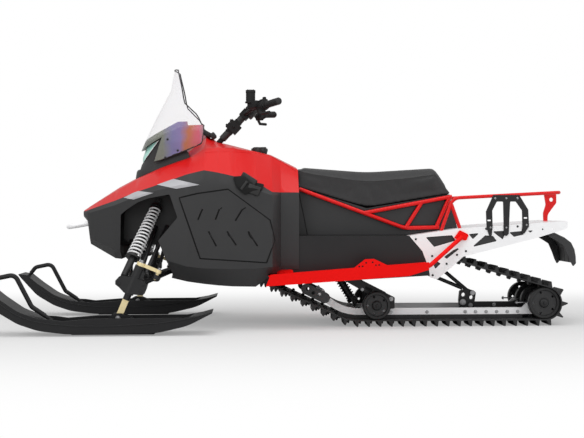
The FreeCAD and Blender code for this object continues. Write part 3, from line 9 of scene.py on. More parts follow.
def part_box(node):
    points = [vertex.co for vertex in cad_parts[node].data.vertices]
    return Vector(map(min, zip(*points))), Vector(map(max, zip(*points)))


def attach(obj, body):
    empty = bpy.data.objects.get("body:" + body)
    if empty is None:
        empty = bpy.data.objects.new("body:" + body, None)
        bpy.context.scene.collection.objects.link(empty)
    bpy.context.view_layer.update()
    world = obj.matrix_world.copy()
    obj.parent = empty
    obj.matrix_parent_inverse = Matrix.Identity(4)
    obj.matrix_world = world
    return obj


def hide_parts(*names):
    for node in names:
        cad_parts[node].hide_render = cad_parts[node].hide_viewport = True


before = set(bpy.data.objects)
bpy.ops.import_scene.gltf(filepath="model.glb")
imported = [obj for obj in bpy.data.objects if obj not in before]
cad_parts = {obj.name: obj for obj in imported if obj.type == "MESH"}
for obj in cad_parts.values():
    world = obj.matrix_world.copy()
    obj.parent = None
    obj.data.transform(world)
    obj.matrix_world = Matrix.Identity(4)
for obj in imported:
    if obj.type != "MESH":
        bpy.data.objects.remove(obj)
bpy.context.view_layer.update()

# ---------------------------------------------------------------- camera
# A level camera on the machine's left, a little to the rear of its middle and
# turned slightly towards the tail.
camera_data = bpy.data.cameras.new("camera")
camera_data.sensor_width = 36
camera_data.lens = 60.5
camera_data.shift_y = -0.0176
camera_data.clip_end = 200
camera = bpy.data.objects.new("camera", camera_data)
camera.location = (0.279, 5.75, 0.666)
camera.rotation_euler = (math.radians(90), 0, math.radians(180 - 2.95))
bpy.context.scene.collection.objects.link(camera)
bpy.context.scene.camera = camera

# ---------------------------------------------------------------- studio
# A pale floor under a white sky, lit by three broad soft lamps, one overhead and
# one towards either end, so that the machine stands in its own soft shadow.
bpy.context.scene.view_settings.view_transform = "Standard"


def add_node(tree, kind, inputs=(), **settings):
    """Adds a shader node.

    Each input, by its name or number, gets a plain value or another node's output.
    """
    made = tree.nodes.new("ShaderNode" + kind)
    for name, value in settings.items():
        setattr(made, name, value)
    for socket, value in dict(inputs).items():
        if isinstance(value, bpy.types.NodeSocket):
            tree.links.new(value, made.inputs[socket])
        else:
            made.inputs[socket].default_value = value
    return made


white = (1, 1, 1, 1)
world = bpy.data.worlds.new("studio sky")
bpy.context.scene.world = world
world.use_nodes = True
sky = world.node_tree
sky.nodes.clear()
seen = add_node(sky, "LightPath")
white_for = add_node(sky, "Math", {0: seen.outputs["Is Camera Ray"], 1: seen.outputs["Is Transmission Ray"]},
                     operation="MAXIMUM").outputs[0]
lighting_sky = add_node(sky, "Background", {"Color": white, "Strength": 0.60}).outputs[0]
backdrop_sky = add_node(sky, "Background", {"Color": white, "Strength": 1.0}).outputs[0]
sky_mix = add_node(sky, "MixShader", {0: white_for, 1: lighting_sky, 2: backdrop_sky}).outputs[0]
add_node(sky, "OutputWorld", {"Surface": sky_mix})

for lamp_name, place, aim, width, height, power in (
    ("overhead lamp", (0.2, 1.2, 4.2), (0.0, 0.0, 0.4), 4.0, 3.0, 80),
    ("front lamp", (2.8, 4.6, 2.6), (0.4, 0.0, 0.6), 2.4, 2.4, 52),
    ("rear lamp", (-3.6, 3.4, 2.4), (-0.8, 0.0, 0.5), 2.2, 2.0, 38),
):
    lamp_data = bpy.data.lights.new(lamp_name, "AREA")
    lamp_data.shape = "RECTANGLE"
    lamp_data.size = width
    lamp_data.size_y = height
    lamp_data.energy = power
    lamp = bpy.data.objects.new(lamp_name, lamp_data)
    lamp.location = place
    lamp.rotation_euler = (Vector(aim) - Vector(place)).to_track_quat("-Z", "Y").to_euler()
    bpy.context.scene.collection.objects.link(lamp)

floor_mesh = bpy.data.meshes.new("floor")
floor_form = bmesh.new()
bmesh.ops.create_grid(floor_form, x_segments=1, y_segments=1, size=60)
floor_form.to_mesh(floor_mesh)
floor_form.free()
floor = bpy.data.objects.new("floor", floor_mesh)
bpy.context.scene.collection.objects.link(floor)
floor_paint = bpy.data.materials.new("pale studio floor")
floor_paint.use_nodes = True
floor_tree = floor_paint.node_tree
floor_tree.nodes.clear()
# The floor fades to white a few metres out, and only the camera sees the fade.
floor_spot = add_node(floor_tree, "TexCoord").outputs["Object"]
floor_oval = add_node(floor_tree, "VectorMath", {0: floor_spot, 1: (0.35, 1, 1)}, operation="MULTIPLY").outputs[0]
floor_reach = add_node(floor_tree, "VectorMath", {0: floor_oval}, operation="LENGTH").outputs["Value"]
floor_fade = add_node(floor_tree, "MapRange", {"Value": floor_reach, "From Min": 0.45, "From Max": 2.7, "To Min": 0.28,
                                               "To Max": 1.0}, interpolation_type="SMOOTHERSTEP").outputs["Result"]
floor_eye = add_node(floor_tree, "LightPath").outputs["Is Camera Ray"]
floor_for_eye = add_node(floor_tree, "Math", {0: floor_fade, 1: floor_eye}, operation="MULTIPLY").outputs[0]
floor_matt = add_node(floor_tree, "BsdfDiffuse", {"Color": (0.70, 0.70, 0.70, 1)}).outputs[0]
floor_white = add_node(floor_tree, "Emission", {"Color": white, "Strength": 1.0}).outputs[0]
floor_mix = add_node(floor_tree, "MixShader", {0: floor_for_eye, 1: floor_matt, 2: floor_white}).outputs[0]
add_node(floor_tree, "OutputMaterial", {"Surface": floor_mix})
floor.data.materials.append(floor_paint)

# ---------------------------------------------------------------- track
# One endless rubber belt, moulded with rows of tall lugs outside and drive
# nubs inside. The rubber is dull and faintly mottled.


def finish(name, color, rough, vary, scale, grain, bump, depth, metal=0.0, coat=0.0, spec=0.5):
    """A painted, moulded or metal surface: cloudy colour, cloudy gloss and a fine grain.

    The colour varies by a share of itself in clouds of the given scale, and the
    grain is a bump of the given strength and depth in metres.
    """
    rough_vary = 0.1
    made = bpy.data.materials.new(name)
    made.use_nodes = True
    tree = made.node_tree
    place = add_node(tree, "TexCoord").outputs["Object"]
    cloud = add_node(tree, "TexNoise", {"Vector": place, "Scale": scale, "Detail": 6}).outputs["Fac"]
    tint = add_node(tree, "Mix", {"A": tuple(c * (1 - vary) for c in color) + (1,),
                                  "B": tuple(min(1, c * (1 + vary)) for c in color) + (1,), "Factor": cloud},
                    data_type="RGBA")
    gloss = add_node(tree, "MapRange", {"Value": cloud, "To Min": max(0.02, rough - rough_vary),
                                        "To Max": min(1.0, rough + rough_vary)})
    grains = add_node(tree, "TexNoise", {"Vector": place, "Scale": grain, "Detail": 3})
    relief = add_node(tree, "Bump", {"Strength": bump, "Distance": depth, "Height": grains.outputs["Fac"]})
    shader = tree.nodes["Principled BSDF"]
    tree.links.new(tint.outputs["Result"], shader.inputs["Base Color"])
    tree.links.new(gloss.outputs["Result"], shader.inputs["Roughness"])
    tree.links.new(relief.outputs["Normal"], shader.inputs["Normal"])
    for socket, value in (("Metallic", metal), ("Specular IOR Level", spec), ("Coat Weight", coat),
                          ("Coat Roughness", 0.06)):
        shader.inputs[socket].default_value = value
    return made


def place_in(made):
    """Where a point lies in the machine, for a finish that changes from place to place."""
    return made.node_tree.nodes["Texture Coordinate"].outputs["Object"]


def band(made, value, low, high, start=0.0, end=1.0):
    """A value turned into a ramp from start to end, between a low mark and a high one."""
    return add_node(made.node_tree, "MapRange", {"Value": value, "From Min": low, "From Max": high,
                                                 "To Min": start, "To Max": end}).outputs["Result"]


def add_zone(made, share, color, under=False):
    """Lays another colour over a finish where the share is 1, or, told under, where it is 0."""
    base = made.node_tree.nodes["Principled BSDF"].inputs["Base Color"]
    first = base.links[0].from_socket
    low, high = (color, first) if under else (first, color)
    zone = add_node(made.node_tree, "Mix", {"Factor": share, "A": low, "B": high}, data_type="RGBA")
    made.node_tree.links.new(zone.outputs["Result"], base)


# The frame's curved faces come as loose flat triangles: they are welded and
# shaded round, up to a fold of the angle below.
crisp_fold = math.radians(32)
smooth_group = bpy.data.node_groups.new("smooth by angle", "GeometryNodeTree")
smooth_group.interface.new_socket("Geometry", in_out="INPUT", socket_type="NodeSocketGeometry")
smooth_group.interface.new_socket("Geometry", in_out="OUTPUT", socket_type="NodeSocketGeometry")
shape_in = smooth_group.nodes.new("NodeGroupInput")
shape_out = smooth_group.nodes.new("NodeGroupOutput")
weld = smooth_group.nodes.new("GeometryNodeMergeByDistance")
weld.inputs["Distance"].default_value = 0.00002
all_smooth = smooth_group.nodes.new("GeometryNodeSetShadeSmooth")
crisp = smooth_group.nodes.new("GeometryNodeSetShadeSmooth")
crisp.domain = "EDGE"
crisp.inputs["Shade Smooth"].default_value = False
fold = smooth_group.nodes.new("GeometryNodeInputMeshEdgeAngle")
folded = add_node(smooth_group, "Math", {0: fold.outputs["Unsigned Angle"], 1: crisp_fold}, operation="GREATER_THAN")
smooth_group.links.new(shape_in.outputs[0], weld.inputs["Geometry"])
smooth_group.links.new(weld.outputs["Geometry"], all_smooth.inputs["Geometry"])
smooth_group.links.new(all_smooth.outputs["Geometry"], crisp.inputs["Geometry"])
smooth_group.links.new(folded.outputs[0], crisp.inputs["Selection"])
smooth_group.links.new(crisp.outputs["Geometry"], shape_out.inputs[0])


def wear(node, made):
    """Gives a CAD node its finish, and round shading over its curved faces."""
    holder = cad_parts[node]
    holder.data.materials.clear()
    holder.data.materials.append(made)
    rounding = holder.modifiers.new("round shading", "NODES")
    rounding.node_group = smooth_group


def stand_at(place, direction):
    """Stands a form that was made along +Z at a place, pointing the given way."""
    turn = Vector(direction).to_track_quat("Z", "Y").to_matrix().to_4x4()
    return Matrix.Translation(Vector(place)) @ turn


def corners_of(result):
    """The corner points among what an operator made."""
    return [part for part in result["geom"] if isinstance(part, bmesh.types.BMVert)]


def mirror_across(form):
    """Adds the same form on the machine's other side."""
    copy = bmesh.ops.duplicate(form, geom=form.verts[:] + form.edges[:] + form.faces[:])
    bmesh.ops.scale(form, vec=(1, -1, 1), verts=corners_of(copy))


def fit_piece(name, form, made, body, sharp=35):
    """Turns a finished form into a piece of the machine that rides on a body."""
    bmesh.ops.recalc_face_normals(form, faces=form.faces[:])
    mesh = bpy.data.meshes.new(name)
    form.to_mesh(mesh)
    form.free()
    mesh.polygons.foreach_set("use_smooth", [True] * len(mesh.polygons))
    mesh.set_sharp_from_angle(angle=math.radians(sharp))
    mesh.materials.append(made)
    piece = bpy.data.objects.new(name, mesh)
    bpy.context.scene.collection.objects.link(piece)
    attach(piece, body)
    return piece


track_rubber = finish("track rubber", (0.016, 0.016, 0.017), rough=0.62, vary=0.25,
                      scale=14, grain=260, bump=0.35, depth=0.0006)
wear("track", track_rubber)

# ---------------------------------------------------------------- rails and their bolts
# Two drawn alloy rails on plastic slide shoes. Each rail carries a row of bolts
# on washers, and an adjuster bolt ahead of the rear axle.


def add_bolt(form, place, direction, size, washer=1.6, height=0.8):
    """A hexagon head with a chamfered top on a round washer; size is its half width."""
    stand = stand_at(place, direction)
    disc = size * washer
    bmesh.ops.create_cone(form, cap_ends=True, segments=24, radius1=disc, radius2=disc * 0.94,
                          depth=size * 0.3, matrix=stand @ Matrix.Translation((0, 0, size * 0.15)))
    bmesh.ops.create_cone(form, cap_ends=True, segments=6, radius1=size, radius2=size,
                          depth=size * height, matrix=stand @ Matrix.Translation((0, 0, size * (0.3 + height / 2))))
    bmesh.ops.create_cone(form, cap_ends=True, segments=6, radius1=size, radius2=size * 0.8,
                          depth=size * 0.14, matrix=stand @ Matrix.Translation((0, 0, size * (0.37 + height))))


silver_alloy = finish("drawn alloy", (0.95, 0.95, 0.96), rough=0.40, vary=0.04,
                      scale=10, grain=500, bump=0.1, depth=0.0002, metal=0.04)
wear("skid_rails", silver_alloy)
wear("slide_shoes", track_rubber)
zinc_steel = finish("zinc plated steel", (0.45, 0.45, 0.46), rough=0.32, vary=0.15,
                    scale=60, grain=900, bump=0.15, depth=0.0002, metal=1.0)
rail_face = 0.156
rail_bolt_z = 0.073
rail_bolts = bmesh.new()
for x in (-0.577, -0.786, -1.008, -1.068, -1.130, -1.191, -1.253, -1.314):
    add_bolt(rail_bolts, (x, rail_face, rail_bolt_z), (0, 1, 0), 0.0065)
adjuster_y = 0.150
adjuster_z = 0.124
bmesh.ops.create_cone(rail_bolts, cap_ends=True, segments=16, radius1=0.004, radius2=0.004, depth=0.070,
                      matrix=stand_at((-1.345, adjuster_y, adjuster_z), (1, 0, 0)))
add_bolt(rail_bolts, (-1.312, adjuster_y, adjuster_z), (1, 0, 0), 0.0075)
mirror_across(rail_bolts)
fit_piece("rail_bolts", rail_bolts, zinc_steel, "chassis")

# A moulded tip closes the front of each rail where the belt leaves it: a long
# round-ended plate of grey plastic with three lightening holes.


def drill(form, places, direction, radius, depth):
    """Drills round holes through a form at the given places, and gives back what is left."""
    cutters = bmesh.new()
    for place in places:
        bmesh.ops.create_cone(cutters, cap_ends=True, segments=20, radius1=radius, radius2=radius,
                              depth=depth, matrix=stand_at(place, direction))
    holders = []
    for name, solid in (("drilled", form), ("drill", cutters)):
        mesh = bpy.data.meshes.new(name)
        solid.to_mesh(mesh)
        solid.free()
        holders.append(bpy.data.objects.new(name, mesh))
        bpy.context.scene.collection.objects.link(holders[-1])
    cut = holders[0].modifiers.new("holes", "BOOLEAN")
    cut.operation = "DIFFERENCE"
    cut.solver = "EXACT"
    cut.object = holders[1]
    done = bpy.data.meshes.new_from_object(holders[0].evaluated_get(bpy.context.evaluated_depsgraph_get()))
    for holder in holders:
        bpy.data.objects.remove(holder)
    drilled = bmesh.new()
    drilled.from_mesh(done)
    bpy.data.meshes.remove(done)
    return drilled


def flat_plate(outline, y, thickness):
    """A flat upright plate cut to a side outline of (x, z) points, from y outwards."""
    form = bmesh.new()
    face = form.faces.new([form.verts.new((x, y, z)) for x, z in outline])
    grown = bmesh.ops.extrude_face_region(form, geom=[face])
    bmesh.ops.translate(form, vec=(0, thickness, 0), verts=corners_of(grown))
    bmesh.ops.recalc_face_normals(form, faces=form.faces[:])
    return form


rail_tip_low = Vector((-0.196, 0.157))
rail_tip_high = Vector((-0.092, 0.208))
rail_tip_line = (rail_tip_high - rail_tip_low).normalized()
rail_tip_square = Vector((-rail_tip_line.y, rail_tip_line.x))
rail_tip_half = 0.031
rail_tip_outline = []
for centre, start in ((rail_tip_high, -90), (rail_tip_low, 90)):
    for step in range(9):
        turn = math.radians(start + step * 22.5)
        rail_tip_outline.append(centre + rail_tip_line * rail_tip_half * math.cos(turn)
                                + rail_tip_square * rail_tip_half * math.sin(turn))
tip_plate = flat_plate(rail_tip_outline, rail_face + 0.0005, 0.007)
tip_holes = [rail_tip_low.lerp(rail_tip_high, share) + rail_tip_square * rise
             for share, rise in ((0.30, 0.006), (0.62, -0.004), (0.96, 0.004))]
tip_plate = drill(tip_plate, [(spot.x, rail_face, spot.y) for spot in tip_holes], (0, 1, 0), 0.0095, 0.06)
bmesh.ops.bevel(tip_plate, geom=[edge for edge in tip_plate.edges if edge.calc_face_angle(0) > 1.0],
                offset=0.0012, offset_type="OFFSET", segments=1, profile=0.5, affect="EDGES", material=-1)
mirror_across(tip_plate)
tip_plastic = finish("grey moulded tip", (0.060, 0.060, 0.062), rough=0.45, vary=0.2,
                     scale=30, grain=600, bump=0.3, depth=0.0003)
fit_piece("rail_tips", tip_plate, tip_plastic, "chassis", 40)

# ---------------------------------------------------------------- wheels and their hub caps
# Rubber-tyred idler wheels with moulded webs, the tyre darker than the web. A
# pressed cap and a bolt close each outer hub of the rear and middle pairs.


def tyre_and_web(name, axle, tyre_start):
    """Rubber outside a given radius from the wheels' axle, moulded plastic inside it."""
    made = finish(name, (0.019, 0.019, 0.020), rough=0.45, vary=0.2,
                  scale=40, grain=500, bump=0.2, depth=0.0003)
    tree = made.node_tree
    flat = add_node(tree, "VectorMath", {0: place_in(made), 1: (1, 0, 1)}, operation="MULTIPLY").outputs[0]
    away = add_node(tree, "VectorMath", {0: flat, 1: (axle[0], 0, axle[1])}, operation="DISTANCE").outputs["Value"]
    add_zone(made, band(made, away, tyre_start - 0.0006, tyre_start + 0.0006), (0.009, 0.009, 0.0095, 1))
    return made


def turned_form(profile, place, direction, steps=32):
    """A form turned from its profile of (radius, height) points about a line."""
    form = bmesh.new()
    last = None
    for radius, height in profile:
        point = form.verts.new((radius, 0, height))
        if last is not None:
            form.edges.new((last, point))
        last = point
    bmesh.ops.spin(form, geom=form.verts[:] + form.edges[:], cent=(0, 0, 0), axis=(0, 0, 1), dvec=(0, 0, 0),
                   angle=math.tau, steps=steps, use_merge=True)
    bmesh.ops.remove_doubles(form, verts=form.verts[:], dist=0.00001)
    bmesh.ops.transform(form, matrix=stand_at(place, direction), verts=form.verts[:])
    return form


def add_form(form, extra):
    """Copies one form into another, and frees it."""
    mesh = bpy.data.meshes.new("part of a piece")
    extra.to_mesh(mesh)
    extra.free()
    form.from_mesh(mesh)
    bpy.data.meshes.remove(mesh)


axles = {}
for node, label, wheel_radius, tyre_start in (
    ("rear_wheels", "rear", 0.0906, 0.078),
    ("mid_wheels", "middle", 0.0796, 0.067),
    ("carrier_wheels", "carrier", 0.0666, 0.054),
):
    wheels_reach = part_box(node)[1]
    axles[node] = (wheels_reach[0] - wheel_radius, wheels_reach[2] - wheel_radius)
    wear(node, tyre_and_web(label + " wheel rubber and web", axles[node], tyre_start))
black_metal = finish("black powder coat", (0.012, 0.012, 0.013), rough=0.42, vary=0.2,
                     scale=12, grain=700, bump=0.15, depth=0.0002, spec=0.4)
wear("drive_axle", black_metal)
hub_caps = bmesh.new()
cap_profile = [(0, 0.0062), (0.009, 0.0062), (0.012, 0.0045), (0.020, 0.0042), (0.0235, 0.0015), (0.0235, 0)]
hub_face = 0.2308
for x, z in (axles["rear_wheels"], axles["mid_wheels"]):
    add_form(hub_caps, turned_form(cap_profile, (x, hub_face, z), (0, 1, 0)))
    add_bolt(hub_caps, (x, hub_face + 0.006, z), (0, 1, 0), 0.0075, 1.35)
mirror_across(hub_caps)
fit_piece("hub_caps", hub_caps, black_metal, "chassis")

# ---------------------------------------------------------------- skid arms
# Black welded arms inside the track, a shock in the middle of the front one and
# turned alloy bosses on the rear one, all held by bolts on washers.
for node in ("skid_front_arm", "skid_rear_arm", "skid_shock"):
    wear(node, black_metal)
boss_alloy = finish("turned alloy", (0.40, 0.40, 0.41), rough=0.30, vary=0.12,
                    scale=70, grain=900, bump=0.1, depth=0.0002, metal=1.0)
arm_bosses = bmesh.new()
for x, z, radius in ((-1.084, 0.170, 0.015), (-1.026, 0.115, 0.019), (-1.072, 0.096, 0.014)):
    boss_profile = [(0, 0.010), (radius * 0.45, 0.010), (radius * 0.5, 0.0075), (radius * 0.9, 0.0075),
                    (radius, 0.006), (radius, -0.001)]
    add_form(arm_bosses, turned_form(boss_profile, (x, 0.012, z), (0, 1, 0)))
mirror_across(arm_bosses)
fit_piece("rear_arm_bosses", arm_bosses, boss_alloy, "chassis")
arm_bolts = bmesh.new()
for place, size in (((-0.576, 0.176, 0.150), 0.008), ((-0.410, 0.176, 0.205), 0.006), ((-1.214, 0.012, 0.100), 0.007)):
    add_bolt(arm_bolts, place, (0, 1, 0), size)
mirror_across(arm_bolts)
fit_piece("skid_arm_bolts", arm_bolts, zinc_steel, "chassis")

# ---------------------------------------------------------------- tunnel and its rear plates
# A folded alloy channel over the track, painted white behind and black ahead,
# with cut-out plates bolted along its rear flanks over dark liners that stand in for the shade inside the tunnel.
white_paint = finish("white paint", (0.90, 0.90, 0.91), rough=0.33, vary=0.03,
                     scale=6, grain=600, bump=0.06, depth=0.0002, coat=0.3)
tunnel_paint = finish("white and black tunnel paint", (0.86, 0.86, 0.88), rough=0.33, vary=0.03,
                      scale=6, grain=600, bump=0.06, depth=0.0002, coat=0.3)
tunnel_x = add_node(tunnel_paint.node_tree, "SeparateXYZ", {0: place_in(tunnel_paint)}).outputs["X"]
add_zone(tunnel_paint, band(tunnel_paint, tunnel_x, -0.664, -0.662), (0.012, 0.012, 0.013, 1))
wear("tunnel_top", tunnel_paint)
wear("rear_plates", white_paint)
wear("tunnel_sides", black_metal)

# The moulded plastic of the liners and panels has painted shade in its folds: its colour turns near black where
# ambient occlusion finds the surface close on itself.
black_shell = finish("black moulded plastic", (0.034, 0.034, 0.035), rough=0.50, vary=0.08,
                     scale=8, grain=900, bump=0.35, depth=0.0003, spec=0.3)
fold_shade = add_node(black_shell.node_tree, "AmbientOcclusion", {"Distance": 0.012}, samples=8).outputs["AO"]
add_zone(black_shell, band(black_shell, fold_shade, 0.45, 0.85), (0.004, 0.004, 0.004, 1), under=True)
# The liners are black sheets that paint shade into the tunnel's inside, seen through the cut-outs.
wear("tunnel_liners", black_shell)
plate_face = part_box("rear_plates")[1][1]
plate_bolts = bmesh.new()
for x, z in ((-0.700, 0.495), (-0.796, 0.292), (-0.793, 0.400), (-0.934, 0.406), (-0.985, 0.427), (-0.875, 0.356),
             (-1.100, 0.553), (-1.280, 0.566)):
    add_bolt(plate_bolts, (x, plate_face, z), (0, 1, 0), 0.0042, 1.5)
mirror_across(plate_bolts)
fit_piece("rear_plate_bolts", plate_bolts, black_metal, "chassis")

# ---------------------------------------------------------------- running boards
# Folded alloy boards with a deep outer skirt, gussets and a round brace up to
# the rear plate, all sprayed red.
red_paint = finish("red paint", (0.84, 0.003, 0.002), rough=0.46, vary=0.05,
                   scale=6, grain=600, bump=0.05, depth=0.0002, spec=0.12)
wear("running_boards", red_paint)

# ---------------------------------------------------------------- engine, front frame and belly pan
# A plain alloy engine block behind the frame plates, and the black plastic pan
# that closes the machine from below.
wear("engine", silver_alloy)
wear("front_frame", black_metal)
wear("belly_pan", black_shell)

# ---------------------------------------------------------------- wishbones and leg housings
# Two black tubular arms a side carry a cast housing in which the leg turns.
# Through-bolts hold the arms' outer ends and the damper's two eyes.
for node in ("wishbones", "leg_housings", "front_shocks"):
    wear(node, black_metal)
front_bolts = bmesh.new()
for place, way, size in (
    ((0.9099, 0.4385, 0.2982), (0, -1, 0), 0.0085),
    ((0.744, 0.1985, 0.706), (0, 1, 0), 0.0085),
    ((0.8911, 0.442, 0.2487), (1, 0, 0), 0.0075),
    ((0.8271, 0.442, 0.2487), (-1, 0, 0), 0.0075),
):
    add_bolt(front_bolts, place, way, size, 1.3)
for x, z in ((0.925, 0.270), (0.812, 0.226), (0.797, 0.262)):
    add_bolt(front_bolts, (x, 0.524, z), (0, 1, 0), 0.0055, 1.4)
mirror_across(front_bolts)
fit_piece("suspension_bolts", front_bolts, black_metal, "chassis")

# ---------------------------------------------------------------- front springs
# White painted steel wire, fifteen turns wound to a slight taper round each
# damper, over a black sleeve.
spring_paint = finish("white spring paint", (0.90, 0.90, 0.91), rough=0.30, vary=0.03,
                      scale=10, grain=500, bump=0.05, depth=0.0002, coat=0.4)
spring_wire = 0.0049
spring_turns = 15
spring_steps = 24
spring_foot_radius = 0.0345
spring_head_radius = 0.0275
spring_foot = Vector((0.8657, 0.3835, 0.4069))
spring_head = Vector((0.7581, 0.2071, 0.6713))
spring_length = (spring_head - spring_foot).length - 2 * spring_wire
springs = bmesh.new()
bmesh.ops.create_circle(springs, cap_ends=True, segments=8, radius=spring_wire,
                        matrix=Matrix.Translation((1, 0, spring_wire)) @ Matrix.Rotation(math.radians(90), 4, "X"))
bmesh.ops.spin(springs, geom=springs.verts[:] + springs.edges[:] + springs.faces[:], cent=(0, 0, 0), axis=(0, 0, 1),
               dvec=(0, 0, spring_length / (spring_turns * spring_steps)), angle=math.tau * spring_turns,
               steps=spring_turns * spring_steps, use_merge=False)
for point in springs.verts:
    along = min(1.0, max(0.0, (point.co.z - spring_wire) / spring_length))
    mean = spring_foot_radius + (spring_head_radius - spring_foot_radius) * along
    flat = Vector((point.co.x, point.co.y, 0))
    point.co = flat.normalized() * (mean + flat.length - 1) + Vector((0, 0, point.co.z))
bmesh.ops.transform(springs, matrix=stand_at(spring_foot, spring_head - spring_foot), verts=springs.verts[:])
mirror_across(springs)
spring_piece = fit_piece("front_coil_springs", springs, spring_paint, "chassis", 60)
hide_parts("front_springs")
damper_profile = [(0.0105, 0.001), (0.0185, 0.001), (0.0185, 0.180), (0.0165, 0.186), (0.0105, 0.186), (0.0105, 0.001)]
damper_sleeves = turned_form(damper_profile, spring_foot, spring_head - spring_foot)
mirror_across(damper_sleeves)
fit_piece("damper_sleeves", damper_sleeves, black_metal, "chassis")

# ---------------------------------------------------------------- legs, steering arms and tie rods
# Gold anodised alloy legs, black where they slide under their housings, with a
# steering arm on top. A lock nut holds each arm and each ball joint.
gold_alloy = finish("gold anodised alloy", (0.88, 0.74, 0.42), rough=0.34, vary=0.06,
                    scale=16, grain=500, bump=0.1, depth=0.0002, metal=0.35)
kingpin = Vector((-0.38752, 0.0, 0.92186))
leg_height = add_node(gold_alloy.node_tree, "VectorMath", {0: place_in(gold_alloy), 1: kingpin},
                      operation="DOT_PRODUCT").outputs["Value"]
ski_bolt_height = kingpin.x * 0.931 + kingpin.z * 0.088
leg_foot = band(gold_alloy, leg_height, ski_bolt_height + 0.1025, ski_bolt_height + 0.1035)
leg_top = band(gold_alloy, leg_height, ski_bolt_height + 0.20, ski_bolt_height + 0.21, 1.0, 0.0)
leg_black = add_node(gold_alloy.node_tree, "Math", {0: leg_foot, 1: leg_top}, operation="MULTIPLY").outputs[0]
add_zone(gold_alloy, leg_black, (0.014, 0.014, 0.015, 1))
leg_middle = 0.5
tie_rod_line = Vector((-0.0306, -0.3820, 0.1902)).normalized()
for side, sign in (("left", 1), ("right", -1)):
    wear("spindle_" + side, gold_alloy)
    wear("tie_rod_" + side, black_metal)
    steer_nuts = bmesh.new()
    add_bolt(steer_nuts, (0.8085, leg_middle, 0.3793), kingpin, 0.0105, 1.5)
    add_bolt(steer_nuts, (0.7164, leg_middle, 0.3406), kingpin, 0.0085, 1.4)
    lock_nut = bmesh.new()
    nut_place = Vector((0.7326, leg_middle, 0.3018)) + tie_rod_line * 0.045
    bmesh.ops.create_cone(lock_nut, cap_ends=True, segments=6, radius1=0.0125, radius2=0.0125, depth=0.010,
                          matrix=stand_at(nut_place, tie_rod_line))
    bmesh.ops.create_cone(lock_nut, cap_ends=True, segments=20, radius1=0.0105, radius2=0.0105, depth=0.030,
                          matrix=stand_at(nut_place - tie_rod_line * 0.018, tie_rod_line))
    if sign < 0:
        for form in (steer_nuts, lock_nut):
            bmesh.ops.scale(form, vec=(1, -1, 1), verts=form.verts[:])
    fit_piece("steering_nuts_" + side, steer_nuts, zinc_steel, "spindle_" + side)
    fit_piece("tie_rod_lock_nut_" + side, lock_nut, zinc_steel, "tie_rod_" + side)

# ---------------------------------------------------------------- skis
# Moulded black plastic skis, each with a keel below, a rib along either edge of
# its deck, a raised loop at the tip and bolts with washers through the saddle.
ski_plastic = finish("ski plastic", (0.014, 0.014, 0.015), rough=0.42, vary=0.2,
                     scale=5, grain=400, bump=0.12, depth=0.0003, spec=0.25)


def bead(form, path, radius, sides=8):
    """A round bead along a line of points: each joint is cut on the slant between its two runs."""
    rings = []
    for i, point in enumerate(path):
        before = path[max(0, i - 1)]
        after = path[min(len(path) - 1, i + 1)]
        ring = bmesh.ops.create_circle(form, cap_ends=False, segments=sides, radius=radius,
                                       matrix=stand_at(point, Vector(after) - Vector(before)))["verts"]
        rings.append({edge for vert in ring for edge in vert.link_edges})
    for low, high in zip(rings, rings[1:]):
        bmesh.ops.bridge_loops(form, edges=list(low) + list(high))
    bmesh.ops.holes_fill(form, edges=list(rings[0]) + list(rings[-1]), sides=sides)


def rounded_path(corners, radius):
    """A line through corner points, each inner corner turned into an arc."""
    steps = 6
    path = [Vector(corners[0])]
    for before, corner, after in zip(corners, corners[1:], corners[2:]):
        corner = Vector(corner)
        back = (Vector(before) - corner).normalized()
        ahead = (Vector(after) - corner).normalized()
        half = back.angle(ahead) / 2
        centre = corner + (back + ahead).normalized() * radius / math.sin(half)
        start = corner + back * radius / math.tan(half) - centre
        end = corner + ahead * radius / math.tan(half) - centre
        path += [centre + start.slerp(end, step / steps).normalized() * radius for step in range(steps + 1)]
    return path + [Vector(corners[-1])]


ski_rib_line = ((1.5286, 0.1680), (1.4596, 0.1205), (1.4050, 0.0960), (1.3551, 0.0789), (1.3050, 0.0705),
                (1.2626, 0.0643), (1.1464, 0.0542), (0.9482, 0.0530), (0.7144, 0.0667), (0.5728, 0.0863),
                (0.5024, 0.1020))
ski_loop_line = ((1.6010, 0.2605), (1.5720, 0.2980), (1.4740, 0.3180), (1.3860, 0.1480), (1.3150, 0.0998))
for side, sign in (("left", 1), ("right", -1)):
    for node in ("ski_" + side, "ski_loop_" + side):
        wear(node, ski_plastic)
    middle = sign * leg_middle
    ski_ribs = bmesh.new()
    for way in (0.092, -0.092):
        bead(ski_ribs, [(x, middle + way, z) for x, z in ski_rib_line], 0.0034)
    loop_sleeve = bmesh.new()
    bead(loop_sleeve, rounded_path([(x, middle, z) for x, z in ski_loop_line], 0.038), 0.0126, 16)
    fit_piece("ski_loop_sleeve_" + side, loop_sleeve, ski_plastic, "ski_" + side, 50)
    ski_bolts = bmesh.new()
    for way in (1, -1):
        for x, z, size, washer in ((0.931, 0.088, 0.0095, 1.45), (0.905, 0.064, 0.0050, 1.4)):
            add_bolt(ski_bolts, (x, middle + way * 0.026, z), (0, way, 0), size, washer)
    fit_piece("ski_ribs_" + side, ski_ribs, ski_plastic, "ski_" + side, 50)
    fit_piece("ski_bolts_" + side, ski_bolts, zinc_steel, "ski_" + side)

